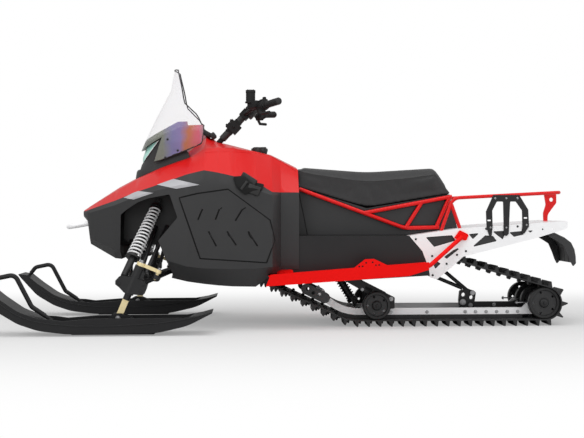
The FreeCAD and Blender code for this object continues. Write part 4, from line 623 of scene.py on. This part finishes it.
# ---------------------------------------------------------------- hood
# One shell of red plastic from the nose to the seat, moulded with a satin gloss,
# with a crease pressed along either flank up to the seat.
red_shell = finish("red hood plastic", (0.64, 0.009, 0.009), rough=0.36, vary=0.03,
                   scale=3, grain=500, bump=0.04, depth=0.0002, coat=0.1, spec=0.22)
wear("hood", red_shell)
hood_creases = bmesh.new()
bead(hood_creases, [(0.4826, 0.2400, 0.9812), (0.4213, 0.2356, 0.9850), (0.3599, 0.2258, 0.9868),
                    (0.2982, 0.2178, 0.9841), (0.2307, 0.2072, 0.9804), (0.1626, 0.1897, 0.9771),
                    (0.1058, 0.1852, 0.9593), (0.0372, 0.1739, 0.9260), (-0.0309, 0.1791, 0.8776)], 0.0016, 6)
mirror_across(hood_creases)
fit_piece("hood_creases", hood_creases, red_shell, "chassis", 60)

# ---------------------------------------------------------------- nose, side panels and inserts
# Black satin plastic panels clipped under the hood, with grey reflective inserts
# in the nose. A rubber latch on either side holds the hood down.
rubber_trim = finish("black rubber trim", (0.014, 0.014, 0.014), rough=0.55, vary=0.2,
                     scale=20, grain=500, bump=0.3, depth=0.0003)
for node in ("nose_cowl", "side_panel_left", "side_panel_right", "rear_panels", "gauge_pod", "headlamp_housing"):
    wear(node, black_shell)

# Near-black strips laid along the lines pressed in either side panel, as painted shade in the grooves.


def skin_of(node):
    """A lookup of the surface of a part, for trim that lies on it."""
    skin = bmesh.new()
    skin.from_mesh(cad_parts[node].data)
    lookup = BVHTree.FromBMesh(skin)
    skin.free()
    return lookup


panel_lookup = skin_of("side_panel_left")
panel_outline = [(0.6169, 0.7252), (0.5168, 0.7487), (0.3518, 0.7723), (0.1220, 0.6034), (0.0965, 0.4934),
                 (0.1416, 0.3716), (0.5030, 0.3952)]
pressed_paths = [panel_outline + panel_outline[:1],
                 [(0.490, 0.664), (0.498, 0.648), (0.515, 0.606)], [(0.385, 0.672), (0.399, 0.660), (0.420, 0.606)],
                 [(0.256, 0.672), (0.276, 0.660), (0.312, 0.600)], [(0.457, 0.543), (0.450, 0.520), (0.415, 0.462)],
                 [(0.357, 0.543), (0.350, 0.524), (0.308, 0.468)], [(0.242, 0.542), (0.236, 0.522), (0.191, 0.462)]]
strip_step = 0.016
panel_depth = 0.3
groove_shade_strips = bmesh.new()
for path in pressed_paths:
    strip_path = []
    for (x1, z1), (x2, z2) in zip(path, path[1:]):
        parts = max(1, round(math.hypot(x2 - x1, z2 - z1) / strip_step))
        for step in range(parts + 1):
            share = step / parts
            outside = Vector((x1 + (x2 - x1) * share, 0.8, z1 + (z2 - z1) * share))
            found = panel_lookup.ray_cast(outside, Vector((0, -1, 0)))[0]
            if found is None or found.y <= panel_depth:
                continue
            if not strip_path or (found - strip_path[-1]).length > 0.002:
                strip_path.append(found)
    bead(groove_shade_strips, strip_path, 0.0032, 6)
mirror_across(groove_shade_strips)
# Near-black rubber for the latches and seams, also used for the strips of painted groove shade.
dark_rubber_and_groove_shade = finish("black rubber and groove shade", (0.005, 0.005, 0.005), rough=0.60, vary=0.2,
                     scale=20, grain=500, bump=0.2, depth=0.0003, spec=0.2)
fit_piece("groove_shade_strips", groove_shade_strips, dark_rubber_and_groove_shade, "chassis", 50)


def shaped_block(form, place, size, along, bevel, segments=2):
    """A block with rounded edges, its first side lying along the given line."""
    block = bmesh.new()
    bmesh.ops.create_cube(block, size=1.0)
    bmesh.ops.scale(block, vec=size, verts=block.verts[:])
    bmesh.ops.bevel(block, geom=block.edges[:], offset=bevel, offset_type="OFFSET", segments=segments, profile=0.5,
                    affect="EDGES", material=-1)
    turn = Vector(along).to_track_quat("X", "Z").to_matrix().to_4x4()
    bmesh.ops.transform(block, matrix=Matrix.Translation(Vector(place)) @ turn, verts=block.verts[:])
    add_form(form, block)


# The gauge is a small glazed box on a sloping bracket behind the windshield.
gauge = bmesh.new()
shaped_block(gauge, (0.444, 0, 1.090), (0.030, 0.104, 0.034), (0.80, 0, -0.60), 0.005)
shaped_block(gauge, (0.482, 0, 1.104), (0.060, 0.084, 0.028), (0.88, 0, 0.48), 0.006)
gauge_piece = fit_piece("gauge", gauge, rubber_trim, "chassis", 40)
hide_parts("gauge_pod")
gauge_glass = finish("gauge glass", (0.30, 0.34, 0.36), rough=0.10, vary=0.2,
                     scale=60, grain=300, bump=0.02, depth=0.0001, coat=1.0)
gauge_face = bmesh.new()
shaped_block(gauge_face, (0.4315, 0, 1.0993), (0.0035, 0.090, 0.024), (0.80, 0, -0.60), 0.0012)
fit_piece("gauge_face", gauge_face, gauge_glass, "chassis", 40)

# A rubber strap with a pull tab closes either latch.
wear("panel_latches", dark_rubber_and_groove_shade)
latch_straps = bmesh.new()
shaped_block(latch_straps, (0.2370, 0.3905, 0.8290), (0.100, 0.016, 0.034), (-0.0761, 0.0387, -0.0502), 0.005)
shaped_block(latch_straps, (0.2650, 0.4120, 0.7930), (0.056, 0.012, 0.014), (-0.0299, 0.0, 0.0400), 0.003)
shaped_block(latch_straps, (0.2120, 0.4080, 0.7700), (0.070, 0.014, 0.050), (-0.0800, 0.0, -0.0300), 0.006)
mirror_across(latch_straps)
fit_piece("latch_straps", latch_straps, rubber_trim, "chassis", 40)

# A domed filler cap, its rim ribbed for the hand.
wear("fuel_cap", rubber_trim)
cap_line = Vector((-0.08, 0, 1)).normalized()
cap_foot = Vector((0.1750, 0, 0.990))
cap_dome = turned_form([(0, 0), (0.0420, 0), (0.0445, 0.003), (0.0445, 0.020), (0.0410, 0.029), (0.0340, 0.0335),
                        (0.0180, 0.0355), (0, 0.0358)], cap_foot, cap_line, 48)
for step in range(24):
    turn = step * math.tau / 24
    rib_foot = stand_at(cap_foot, cap_line) @ Vector((0.0440 * math.cos(turn), 0.0440 * math.sin(turn), 0.0105))
    bmesh.ops.create_cone(cap_dome, cap_ends=True, segments=8, radius1=0.0026, radius2=0.0020, depth=0.018,
                          matrix=stand_at(rib_foot, cap_line))
fit_piece("fuel_cap_dome", cap_dome, rubber_trim, "chassis", 40)

# Grey inserts under the lamps, and the alloy bumper, finish the nose.
grey_shell = finish("grey reflector plastic", (0.43, 0.43, 0.45), rough=0.30, vary=0.14,
                    scale=12, grain=600, bump=0.1, depth=0.0002, coat=0.3)
wear("silver_inserts", grey_shell)
wear("front_bumper", silver_alloy)

# ---------------------------------------------------------------- headlamp
# A clear lens wrapped round the nose, turquoise in its lower part and white
# along the housing.
lamp_glass = finish("lamp lens", (0.42, 0.80, 0.70), rough=0.12, vary=0.05,
                    scale=12, grain=60, bump=0.08, depth=0.0006, coat=0.6)
lens_line = Vector((0.812, 0.0, 0.586))
lens_height = add_node(lamp_glass.node_tree, "VectorMath", {0: place_in(lamp_glass), 1: lens_line},
                       operation="DOT_PRODUCT").outputs["Value"]
lens_base = lens_line.x * 0.853 + lens_line.z * 0.922
lens_edge = band(lamp_glass, lens_height, lens_base - 0.001, lens_base + 0.002)
add_zone(lamp_glass, lens_edge, (0.84, 0.88, 0.88, 1), under=True)
wear("headlamp_lens", lamp_glass)

# ---------------------------------------------------------------- windshield
# A bent sheet of clear polycarbonate. Its foot is smoked, with a film that
# shifts from grey-green through violet to rose, and a rubber bead edges it.
screen = bpy.data.materials.new("clear and smoked polycarbonate")
screen.use_nodes = True
screen_tree = screen.node_tree
screen_place = add_node(screen_tree, "TexCoord").outputs["Object"]
screen_axes = add_node(screen_tree, "SeparateXYZ", {0: screen_place}).outputs
drift = add_node(screen_tree, "TexNoise", {"Vector": screen_place, "Scale": 9, "Detail": 2}).outputs["Fac"]

# The film's colour runs along the sheet's foot, a little unevenly.
film_along = add_node(screen_tree, "Math", {0: drift, 1: 0.10, 2: screen_axes["X"]}, operation="MULTIPLY_ADD")
film_color = add_node(screen_tree, "ValToRGB", {"Fac": band(screen, film_along.outputs[0], 0.53, 0.88)})
film_stops = film_color.color_ramp.elements
film_stops[0].color = (0.38, 0.30, 0.33, 1)
film_stops[1].color = (0.20, 0.21, 0.19, 1)
for position, color in ((0.12, (0.62, 0.12, 0.18, 1)), (0.27, (0.50, 0.17, 0.08, 1)), (0.40, (0.26, 0.20, 0.40, 1)),
                        (0.58, (0.22, 0.20, 0.38, 1)), (0.76, (0.23, 0.24, 0.20, 1))):
    film_stops.new(position).color = color

# The smoke ends at a line that slopes down forwards, and at a level one behind.
smoke_fall = 0.516
smoke_line = 1.153 + smoke_fall * 0.651
smoke_height = add_node(screen_tree, "Math", {0: screen_axes["X"], 1: smoke_fall, 2: screen_axes["Z"]},
                        operation="MULTIPLY_ADD").outputs[0]
smoke_edge = band(screen, smoke_height, smoke_line - 0.002, smoke_line + 0.002)
rear_step = band(screen, screen_axes["X"], 0.580, 0.584, 0.022, 0.0)
level_height = add_node(screen_tree, "Math", {0: screen_axes["Z"], 1: rear_step}, operation="ADD").outputs[0]
level_edge = band(screen, level_height, 1.158, 1.161)
clear_part = add_node(screen_tree, "Math", {0: smoke_edge, 1: level_edge}, operation="MAXIMUM").outputs[0]
clear_tint = add_node(screen_tree, "Mix", {"Factor": drift, "A": (0.50, 0.45, 0.80, 1), "B": (0.72, 0.70, 0.52, 1)},
                      data_type="RGBA").outputs["Result"]
screen_tint = add_node(screen_tree, "Mix", {"Factor": clear_part, "A": film_color.outputs["Color"], "B": clear_tint},
                       data_type="RGBA").outputs["Result"]

# The sheet looks denser where it turns edge-on.
edge_on = add_node(screen_tree, "LayerWeight", {"Blend": 0.25}).outputs["Facing"]
rim_share = add_node(screen_tree, "Math", {0: edge_on, 1: 3.0}, operation="POWER").outputs[0]
screen_body = band(screen, clear_part, 0.0, 1.0, 0.74, 0.06)
rim_body = add_node(screen_tree, "Math", {0: rim_share, 1: 0.30, 2: screen_body}, operation="MULTIPLY_ADD",
                    use_clamp=True).outputs[0]
screen_shader = screen_tree.nodes["Principled BSDF"]
screen_shader.inputs["Specular IOR Level"].default_value = 0.35
for socket, value in (("Base Color", screen_tint), ("Alpha", rim_body),
                      ("Roughness", band(screen, drift, 0.0, 1.0, 0.06, 0.14))):
    screen_tree.links.new(value, screen_shader.inputs[socket])
wear("windshield", screen)

# The bead is laid along the sheet's border: up either side, and over the top.
screen_lookup = skin_of("windshield")
side_edge = [(0.774, 0.1585, 0.930), (0.744, 0.163, 0.940), (0.717, 0.171, 0.950), (0.6945, 0.178, 0.9576),
             (0.672, 0.185, 0.965), (0.6516, 0.196, 0.9726), (0.629, 0.199, 0.980), (0.619, 0.207, 0.984),
             (0.587, 0.218, 0.995), (0.559, 0.226, 1.007), (0.531, 0.234, 1.018), (0.504, 0.2487, 1.030),
             (0.4985, 0.2463, 1.045), (0.493, 0.234, 1.095), (0.4885, 0.226, 1.134), (0.504, 0.216, 1.145),
             (0.5195, 0.205, 1.1787), (0.534, 0.200, 1.201), (0.558, 0.184, 1.2237), (0.580, 0.164, 1.2464),
             (0.5993, 0.156, 1.2641), (0.607, 0.143, 1.295), (0.613, 0.137, 1.330), (0.620, 0.127, 1.370),
             (0.627, 0.115, 1.405), (0.634, 0.101, 1.438), (0.641, 0.087, 1.4626)]
screen_top = side_edge[-1]
top_radius = 0.098
top_edge = [(screen_top[0], -screen_top[1], screen_top[2])]
for step in range(9):
    turn = math.radians(-48 + step * 12)
    x = 0.572 + top_radius * math.cos(turn)
    rise = max(0, x - screen_top[0]) * 0.35
    top_edge.append((x, top_radius * math.sin(turn), min(1.4700, screen_top[2] + rise)))
top_edge.append(screen_top)
edge_bead = bmesh.new()
bead(edge_bead, [screen_lookup.find_nearest(Vector(spot))[0] for spot in side_edge], 0.0036)
mirror_across(edge_bead)
bead(edge_bead, [screen_lookup.find_nearest(Vector(spot))[0] for spot in top_edge], 0.0034)
fit_piece("windshield_edge_bead", edge_bead, rubber_trim, "chassis", 50)

# A dark brow closes the lens along its upper edge, under the windshield.
lamp_brow = bmesh.new()
brow_radius = 0.1415
brow_centre = 0.692
brow_line = []
for step in range(25):
    turn = math.radians(-80 + step * 160 / 24)
    x = brow_centre + brow_radius * math.cos(turn)
    z = 1.019 + 0.464 * (brow_centre + brow_radius - x)
    brow_line.append(lamp_brow.verts.new((x, brow_radius * math.sin(turn), z)))
brow_edges = [lamp_brow.edges.new(pair) for pair in zip(brow_line, brow_line[1:])]
brow_rise = bmesh.ops.extrude_edge_only(lamp_brow, edges=brow_edges)
bmesh.ops.translate(lamp_brow, vec=(-0.009, 0, 0.023), verts=corners_of(brow_rise))
bmesh.ops.recalc_face_normals(lamp_brow, faces=lamp_brow.faces[:])
bmesh.ops.solidify(lamp_brow, geom=lamp_brow.faces[:], thickness=0.003)
fit_piece("lamp_brow", lamp_brow, rubber_trim, "chassis", 50)

# Washered screws hold the sheet's foot to the nose.
screen_screws = bmesh.new()
for x, z in ((0.660, 1.000), (0.738, 0.966), (0.735, 1.085)):
    spot, facing, _, _ = screen_lookup.find_nearest(Vector((x, 0.26, z)))
    add_bolt(screen_screws, spot, facing, 0.0045, 1.5, 0.5)
mirror_across(screen_screws)
fit_piece("windshield_screws", screen_screws, black_metal, "chassis")

# ---------------------------------------------------------------- steering column and bars
# A black steel column with a split clamp half way up it, swept bars, ribbed
# rubber grips, and controls with a brake lever and its fluid reservoir.
matt_steel = finish("matt black steel", (0.015, 0.015, 0.015), rough=0.62, vary=0.2,
                    scale=12, grain=700, bump=0.15, depth=0.0002, spec=0.18)
for node in ("steering_post", "handlebar", "bar_controls"):
    wear(node, matt_steel)
grip_rubber = finish("grip rubber", (0.011, 0.011, 0.011), rough=0.6, vary=0.15,
                     scale=20, grain=500, bump=0.4, depth=0.0004)
wear("grips", grip_rubber)
bar_tip = Vector((0.0786, 0.385, 1.2543))
bar_knee = Vector((0.2166, 0.170, 1.2323))
grip_line = (bar_knee - bar_tip).normalized()
rib_profile = [(0.0165, -0.0026), (0.0200, -0.0012), (0.0200, 0.0012), (0.0165, 0.0026)]
grip_end_profile = [(0, -0.0075), (0.011, -0.0075), (0.0185, -0.004), (0.0203, 0.0005), (0.0165, 0.002)]
rib_gap = 0.0072
grip_ribs = bmesh.new()
for i in range(14):
    add_form(grip_ribs, turned_form(rib_profile, bar_tip + grip_line * (0.004 + i * rib_gap), grip_line))
add_form(grip_ribs, turned_form(grip_end_profile, bar_tip - grip_line * 0.005, grip_line))
mirror_across(grip_ribs)
fit_piece("grip_ribs", grip_ribs, grip_rubber, "handlebar")

# Controls: a ribbed housing, a switch block and a lever beside each grip, and on
# the left the brake's master cylinder, its reservoir and a raised switch.
controls = bmesh.new()
housing_profile = [(0.0112, 0), (0.024, 0), (0.0285, 0.004), (0.0285, 0.018), (0.0262, 0.020), (0.0262, 0.044),
                   (0.0285, 0.046), (0.0285, 0.062), (0.024, 0.066), (0.0112, 0.066), (0.0112, 0)]
housing_foot = bar_tip + grip_line * 0.126
add_form(controls, turned_form(housing_profile, housing_foot, grip_line, 28))
bead(controls, [housing_foot + Vector(step) for step in
                ((0.016, -0.030, -0.010), (0.030, -0.006, -0.034), (0.018, 0.055, -0.052), (-0.020, 0.112, -0.050))],
     0.0085, 10)
shaped_block(controls, housing_foot + Vector((0.022, -0.022, -0.018)), (0.050, 0.030, 0.040), grip_line, 0.005)
mirror_across(controls)
for along, offset, size, rounding in (
    (0.196, (0.020, 0, 0.012), (0.078, 0.056, 0.042), 0.007),
    (0.150, (-0.004, 0, 0.022), (0.040, 0.036, 0.030), 0.005),
    (0.146, (-0.006, 0, 0.042), (0.018, 0.016, 0.014), 0.003),
):
    shaped_block(controls, bar_tip + grip_line * along + Vector(offset), size, grip_line, rounding)
reservoir_profile = [(0, -0.006), (0.031, -0.006), (0.031, 0.001), (0.0262, 0.004), (0.0262, 0.050), (0.0275, 0.051),
                     (0.0275, 0.065), (0.0262, 0.067), (0, 0.067)]
reservoir_place = Vector((0.2275, 0.215, 1.267))
add_form(controls, turned_form(reservoir_profile, reservoir_place, (0, 0, 1), 28))
for across, along in ((0.016, 0.016), (0.016, -0.016), (-0.016, 0.016), (-0.016, -0.016)):
    add_bolt(controls, reservoir_place + Vector((across, along, 0.067)), (0, 0, 1), 0.0026, 1.3, 0.5)
controls_piece = fit_piece("handlebar_controls", controls, matt_steel, "handlebar")
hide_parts("bar_controls")

# The column wears two moulded sleeves, and a padded cover hides the bar's clamp.
post_line = Vector((-0.681998, 0.0, 0.731354))
post_foot = Vector((0.393, 0, 1.070))
bar_centre = Vector((0.2566, 0, 1.2163))
column_cover = bmesh.new()
for along, length in ((0.002, 0.055), (0.134, 0.051)):
    sleeve_profile = [(0.0162, 0), (0.0215, 0.001), (0.0215, length - 0.001), (0.0162, length), (0.0162, 0)]
    add_form(column_cover, turned_form(sleeve_profile, post_foot + post_line * along, post_line, 28))
shaped_block(column_cover, bar_centre + post_line * 0.046, (0.052, 0.150, 0.046), post_line, 0.010, 3)
shaped_block(column_cover, bar_centre + post_line * 0.030 + Vector((-0.022, 0, -0.018)), (0.060, 0.110, 0.030),
             post_line, 0.008, 3)
fit_piece("column_cover", column_cover, rubber_trim, "handlebar", 40)

# Four bolts close the split clamp half way up the column, with one beside it.
clamp_bolts = bmesh.new()
post_across = Vector((0.731354, 0.0, 0.681998))
clamp_middle = post_foot + post_line * 0.100
for along in (-0.018, 0.018):
    for y in (-0.020, 0.020):
        add_bolt(clamp_bolts, clamp_middle + post_line * along + post_across * 0.037 + Vector((0, y, 0)),
                 post_across, 0.0050, 1.4)
add_bolt(clamp_bolts, clamp_middle + Vector((0, 0.030, 0)), (0, 1, 0), 0.0065, 1.4)
fit_piece("clamp_bolts", clamp_bolts, matt_steel, "handlebar")

# ---------------------------------------------------------------- seat frame, rack and flap
# Red tubes under the seat and round the rear rack, a black accessory plate on
# the left, and a ribbed rubber flap behind the track.
tube_paint = finish("red tube paint", (0.70, 0.004, 0.004), rough=0.38, vary=0.05,
                    scale=6, grain=600, bump=0.05, depth=0.0002, coat=0.1, spec=0.3)
wear("seat_frame", tube_paint)
wear("rack_loop", tube_paint)
wear("rack_plate", black_metal)
flap_rubber = finish("flap rubber", (0.028, 0.028, 0.029), rough=0.5, vary=0.15,
                     scale=7, grain=300, bump=0.3, depth=0.0004)
wear("snow_flap", flap_rubber)
flap_ribs = bmesh.new()
flap_line = [(-1.500, 0.5430), (-1.545, 0.5230), (-1.588, 0.5015), (-1.6275, 0.4715), (-1.6475, 0.4300),
             (-1.6545, 0.3920), (-1.6565, 0.3500)]
for y in (-0.105, -0.035, 0.035, 0.105):
    bead(flap_ribs, [(x, y, z) for x, z in flap_line], 0.0042)
fit_piece("snow_flap_ribs", flap_ribs, flap_rubber, "chassis", 40)
wear("seat_base", black_shell)
rack_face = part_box("rack_plate")[1][1]
rack_bolts = bmesh.new()
for x in (-1.150, -1.214, -1.278):
    add_bolt(rack_bolts, (x, rack_face, 0.725), (0, 1, 0), 0.0045, 1.4)
for x, z in ((-1.214, 0.560), (-1.124, 0.560), (-1.330, 0.575)):
    add_bolt(rack_bolts, (x, rack_face, z), (0, 1, 0), 0.0040, 1.4)
fit_piece("rack_plate_bolts", rack_bolts, zinc_steel, "chassis")

# A dark seam runs down either side cover under the seat.
cover_seams = bmesh.new()
bead(cover_seams, [(-0.0495, 0.172, 0.7498), (-0.0598, 0.172, 0.6986), (-0.0712, 0.172, 0.6473),
                   (-0.0814, 0.172, 0.5961), (-0.0911, 0.172, 0.5448), (-0.0960, 0.172, 0.5200)], 0.0022, 6)
mirror_across(cover_seams)
fit_piece("cover_seams", cover_seams, dark_rubber_and_groove_shade, "chassis", 50)

# ---------------------------------------------------------------- seat
# A long moulded foam pad under a stretched vinyl cover: crowned on top, its
# sides drawn in, with a welt sewn along either shoulder.
seat_cover = finish("seat vinyl", (0.027, 0.027, 0.028), rough=0.50, vary=0.10,
                    scale=7, grain=1400, bump=0.6, depth=0.0005, spec=0.36)
wear("seat", seat_cover)
seat_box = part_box("seat")
seat_front = seat_box[1][0] + 0.004
seat_tail = seat_box[0][0] + 0.003
seat_half = 0.166
tail_slant = 0.088


def along_line(knots, x):
    """Height of a broken line of (x, z) knots, smoothed where its runs meet."""
    def height(at):
        for (x1, z1), (x2, z2) in zip(knots, knots[1:]):
            if at >= x2:
                return z1 + (z2 - z1) * (at - x1) / (x2 - x1)
        return knots[-1][1]
    return sum(height(x + step * 0.02) for step in range(-3, 4)) / 7


seat_top_line = [(0.10, 0.914), (-0.042, 0.903), (-0.446, 0.874), (-0.846, 0.899), (-1.10, 0.915)]
seat_foot_line = [(0.10, 0.831), (-0.042, 0.788), (-0.437, 0.667), (-0.920, 0.751), (-1.10, 0.784)]


def shoulder_drop(x):
    """How far the shoulder lies under the middle of the seat's top."""
    reach = (seat_front - x) / (seat_front - seat_tail)
    return 0.012 + 0.042 * math.sin(math.pi * min(1.0, max(0.0, reach))) ** 0.8


# The foam is shaped a little small, because its cover swells it.
seat_form = bmesh.new()
bmesh.ops.create_cube(seat_form, size=2.0)
bmesh.ops.subdivide_edges(seat_form, edges=seat_form.edges[:], cuts=19, use_grid_fill=True)
for point in seat_form.verts:
    reach, across, height = (point.co.x + 1) / 2, point.co.y, (point.co.z + 1) / 2
    tail = seat_tail + tail_slant * height
    x = tail + (seat_front - tail) * reach
    crown = max(0.0, (abs(across) - 0.30) / 0.70) ** 1.7
    top = along_line(seat_top_line, x) - 0.002 - shoulder_drop(x) * crown
    foot = along_line(seat_foot_line, x) + 0.002
    waist = 1 - 0.045 * math.sin(math.pi * height) * abs(across) ** 4
    point.co = Vector((x, across * seat_half * waist * (1 - 0.02 * height), foot + (top - foot) * height))
bmesh.ops.recalc_face_normals(seat_form, faces=seat_form.faces[:])
seat_mesh = bpy.data.meshes.new("seat_pad")
seat_form.to_mesh(seat_mesh)
seat_form.free()
seat_pad = bpy.data.objects.new("seat_pad", seat_mesh)
bpy.context.scene.collection.objects.link(seat_pad)
bpy.context.view_layer.objects.active = seat_pad
seat_pad.select_set(True)
foam = seat_pad.modifiers.new("even foam", "REMESH")
foam.mode = "VOXEL"
foam.voxel_size = 0.008
bpy.ops.object.modifier_apply(modifier="even foam")
rest_places = [point.co.copy() for point in seat_pad.data.vertices]
cover = seat_pad.modifiers.new("stretched cover", "CLOTH")
for setting, value in (("quality", 5), ("mass", 0.3), ("tension_stiffness", 20), ("compression_stiffness", 20),
                       ("shear_stiffness", 10), ("use_pressure", True), ("uniform_pressure_force", 4)):
    setattr(cover.settings, setting, value)
cover.settings.effector_weights.gravity = 0
for step in range(1, 21):
    bpy.context.scene.frame_set(step)
swollen = seat_pad.evaluated_get(bpy.context.evaluated_depsgraph_get()).data
swollen_places = [point.co.copy() for point in swollen.vertices]
seat_pad.modifiers.remove(cover)
bpy.context.scene.frame_set(1)
most_swell = 0.006
for point, rest, swell in zip(seat_pad.data.vertices, rest_places, swollen_places):
    shift = swell - rest
    if shift.length > most_swell:
        shift = shift.normalized() * most_swell
    point.co = rest + shift
smoothing = seat_pad.modifiers.new("fine skin", "SUBSURF")
smoothing.levels = 1
smoothing.render_levels = 1
bpy.ops.object.modifier_apply(modifier="fine skin")
seat_pad.data.polygons.foreach_set("use_smooth", [True] * len(seat_pad.data.polygons))
for point in seat_pad.data.vertices:
    point.co.x = min(seat_box[1][0], max(seat_box[0][0], point.co.x))
    point.co.z = min(along_line(seat_top_line, point.co.x) + 0.004, point.co.z)
seat_pad.data.materials.append(seat_cover)
seat_pad.select_set(False)
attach(seat_pad, "chassis")
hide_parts("seat")

# Each welt lies in the surface of the swollen cover.
skin_lookup = BVHTree.FromObject(seat_pad, bpy.context.evaluated_depsgraph_get())
welts = bmesh.new()
welt_path = []
welt_steps = 45
for i in range(welt_steps + 1):
    x = seat_front - 0.012 - (seat_front - seat_tail - 0.106) * i / welt_steps
    guess = Vector((x, seat_half, along_line(seat_top_line, x) - 0.004 - shoulder_drop(x) * 0.86))
    on_skin, facing, _, _ = skin_lookup.find_nearest(guess)
    welt_path.append(on_skin - facing * 0.0008)
bead(welts, welt_path, 0.0022, 6)
mirror_across(welts)
fit_piece("seat_welts", welts, rubber_trim, "chassis", 60)
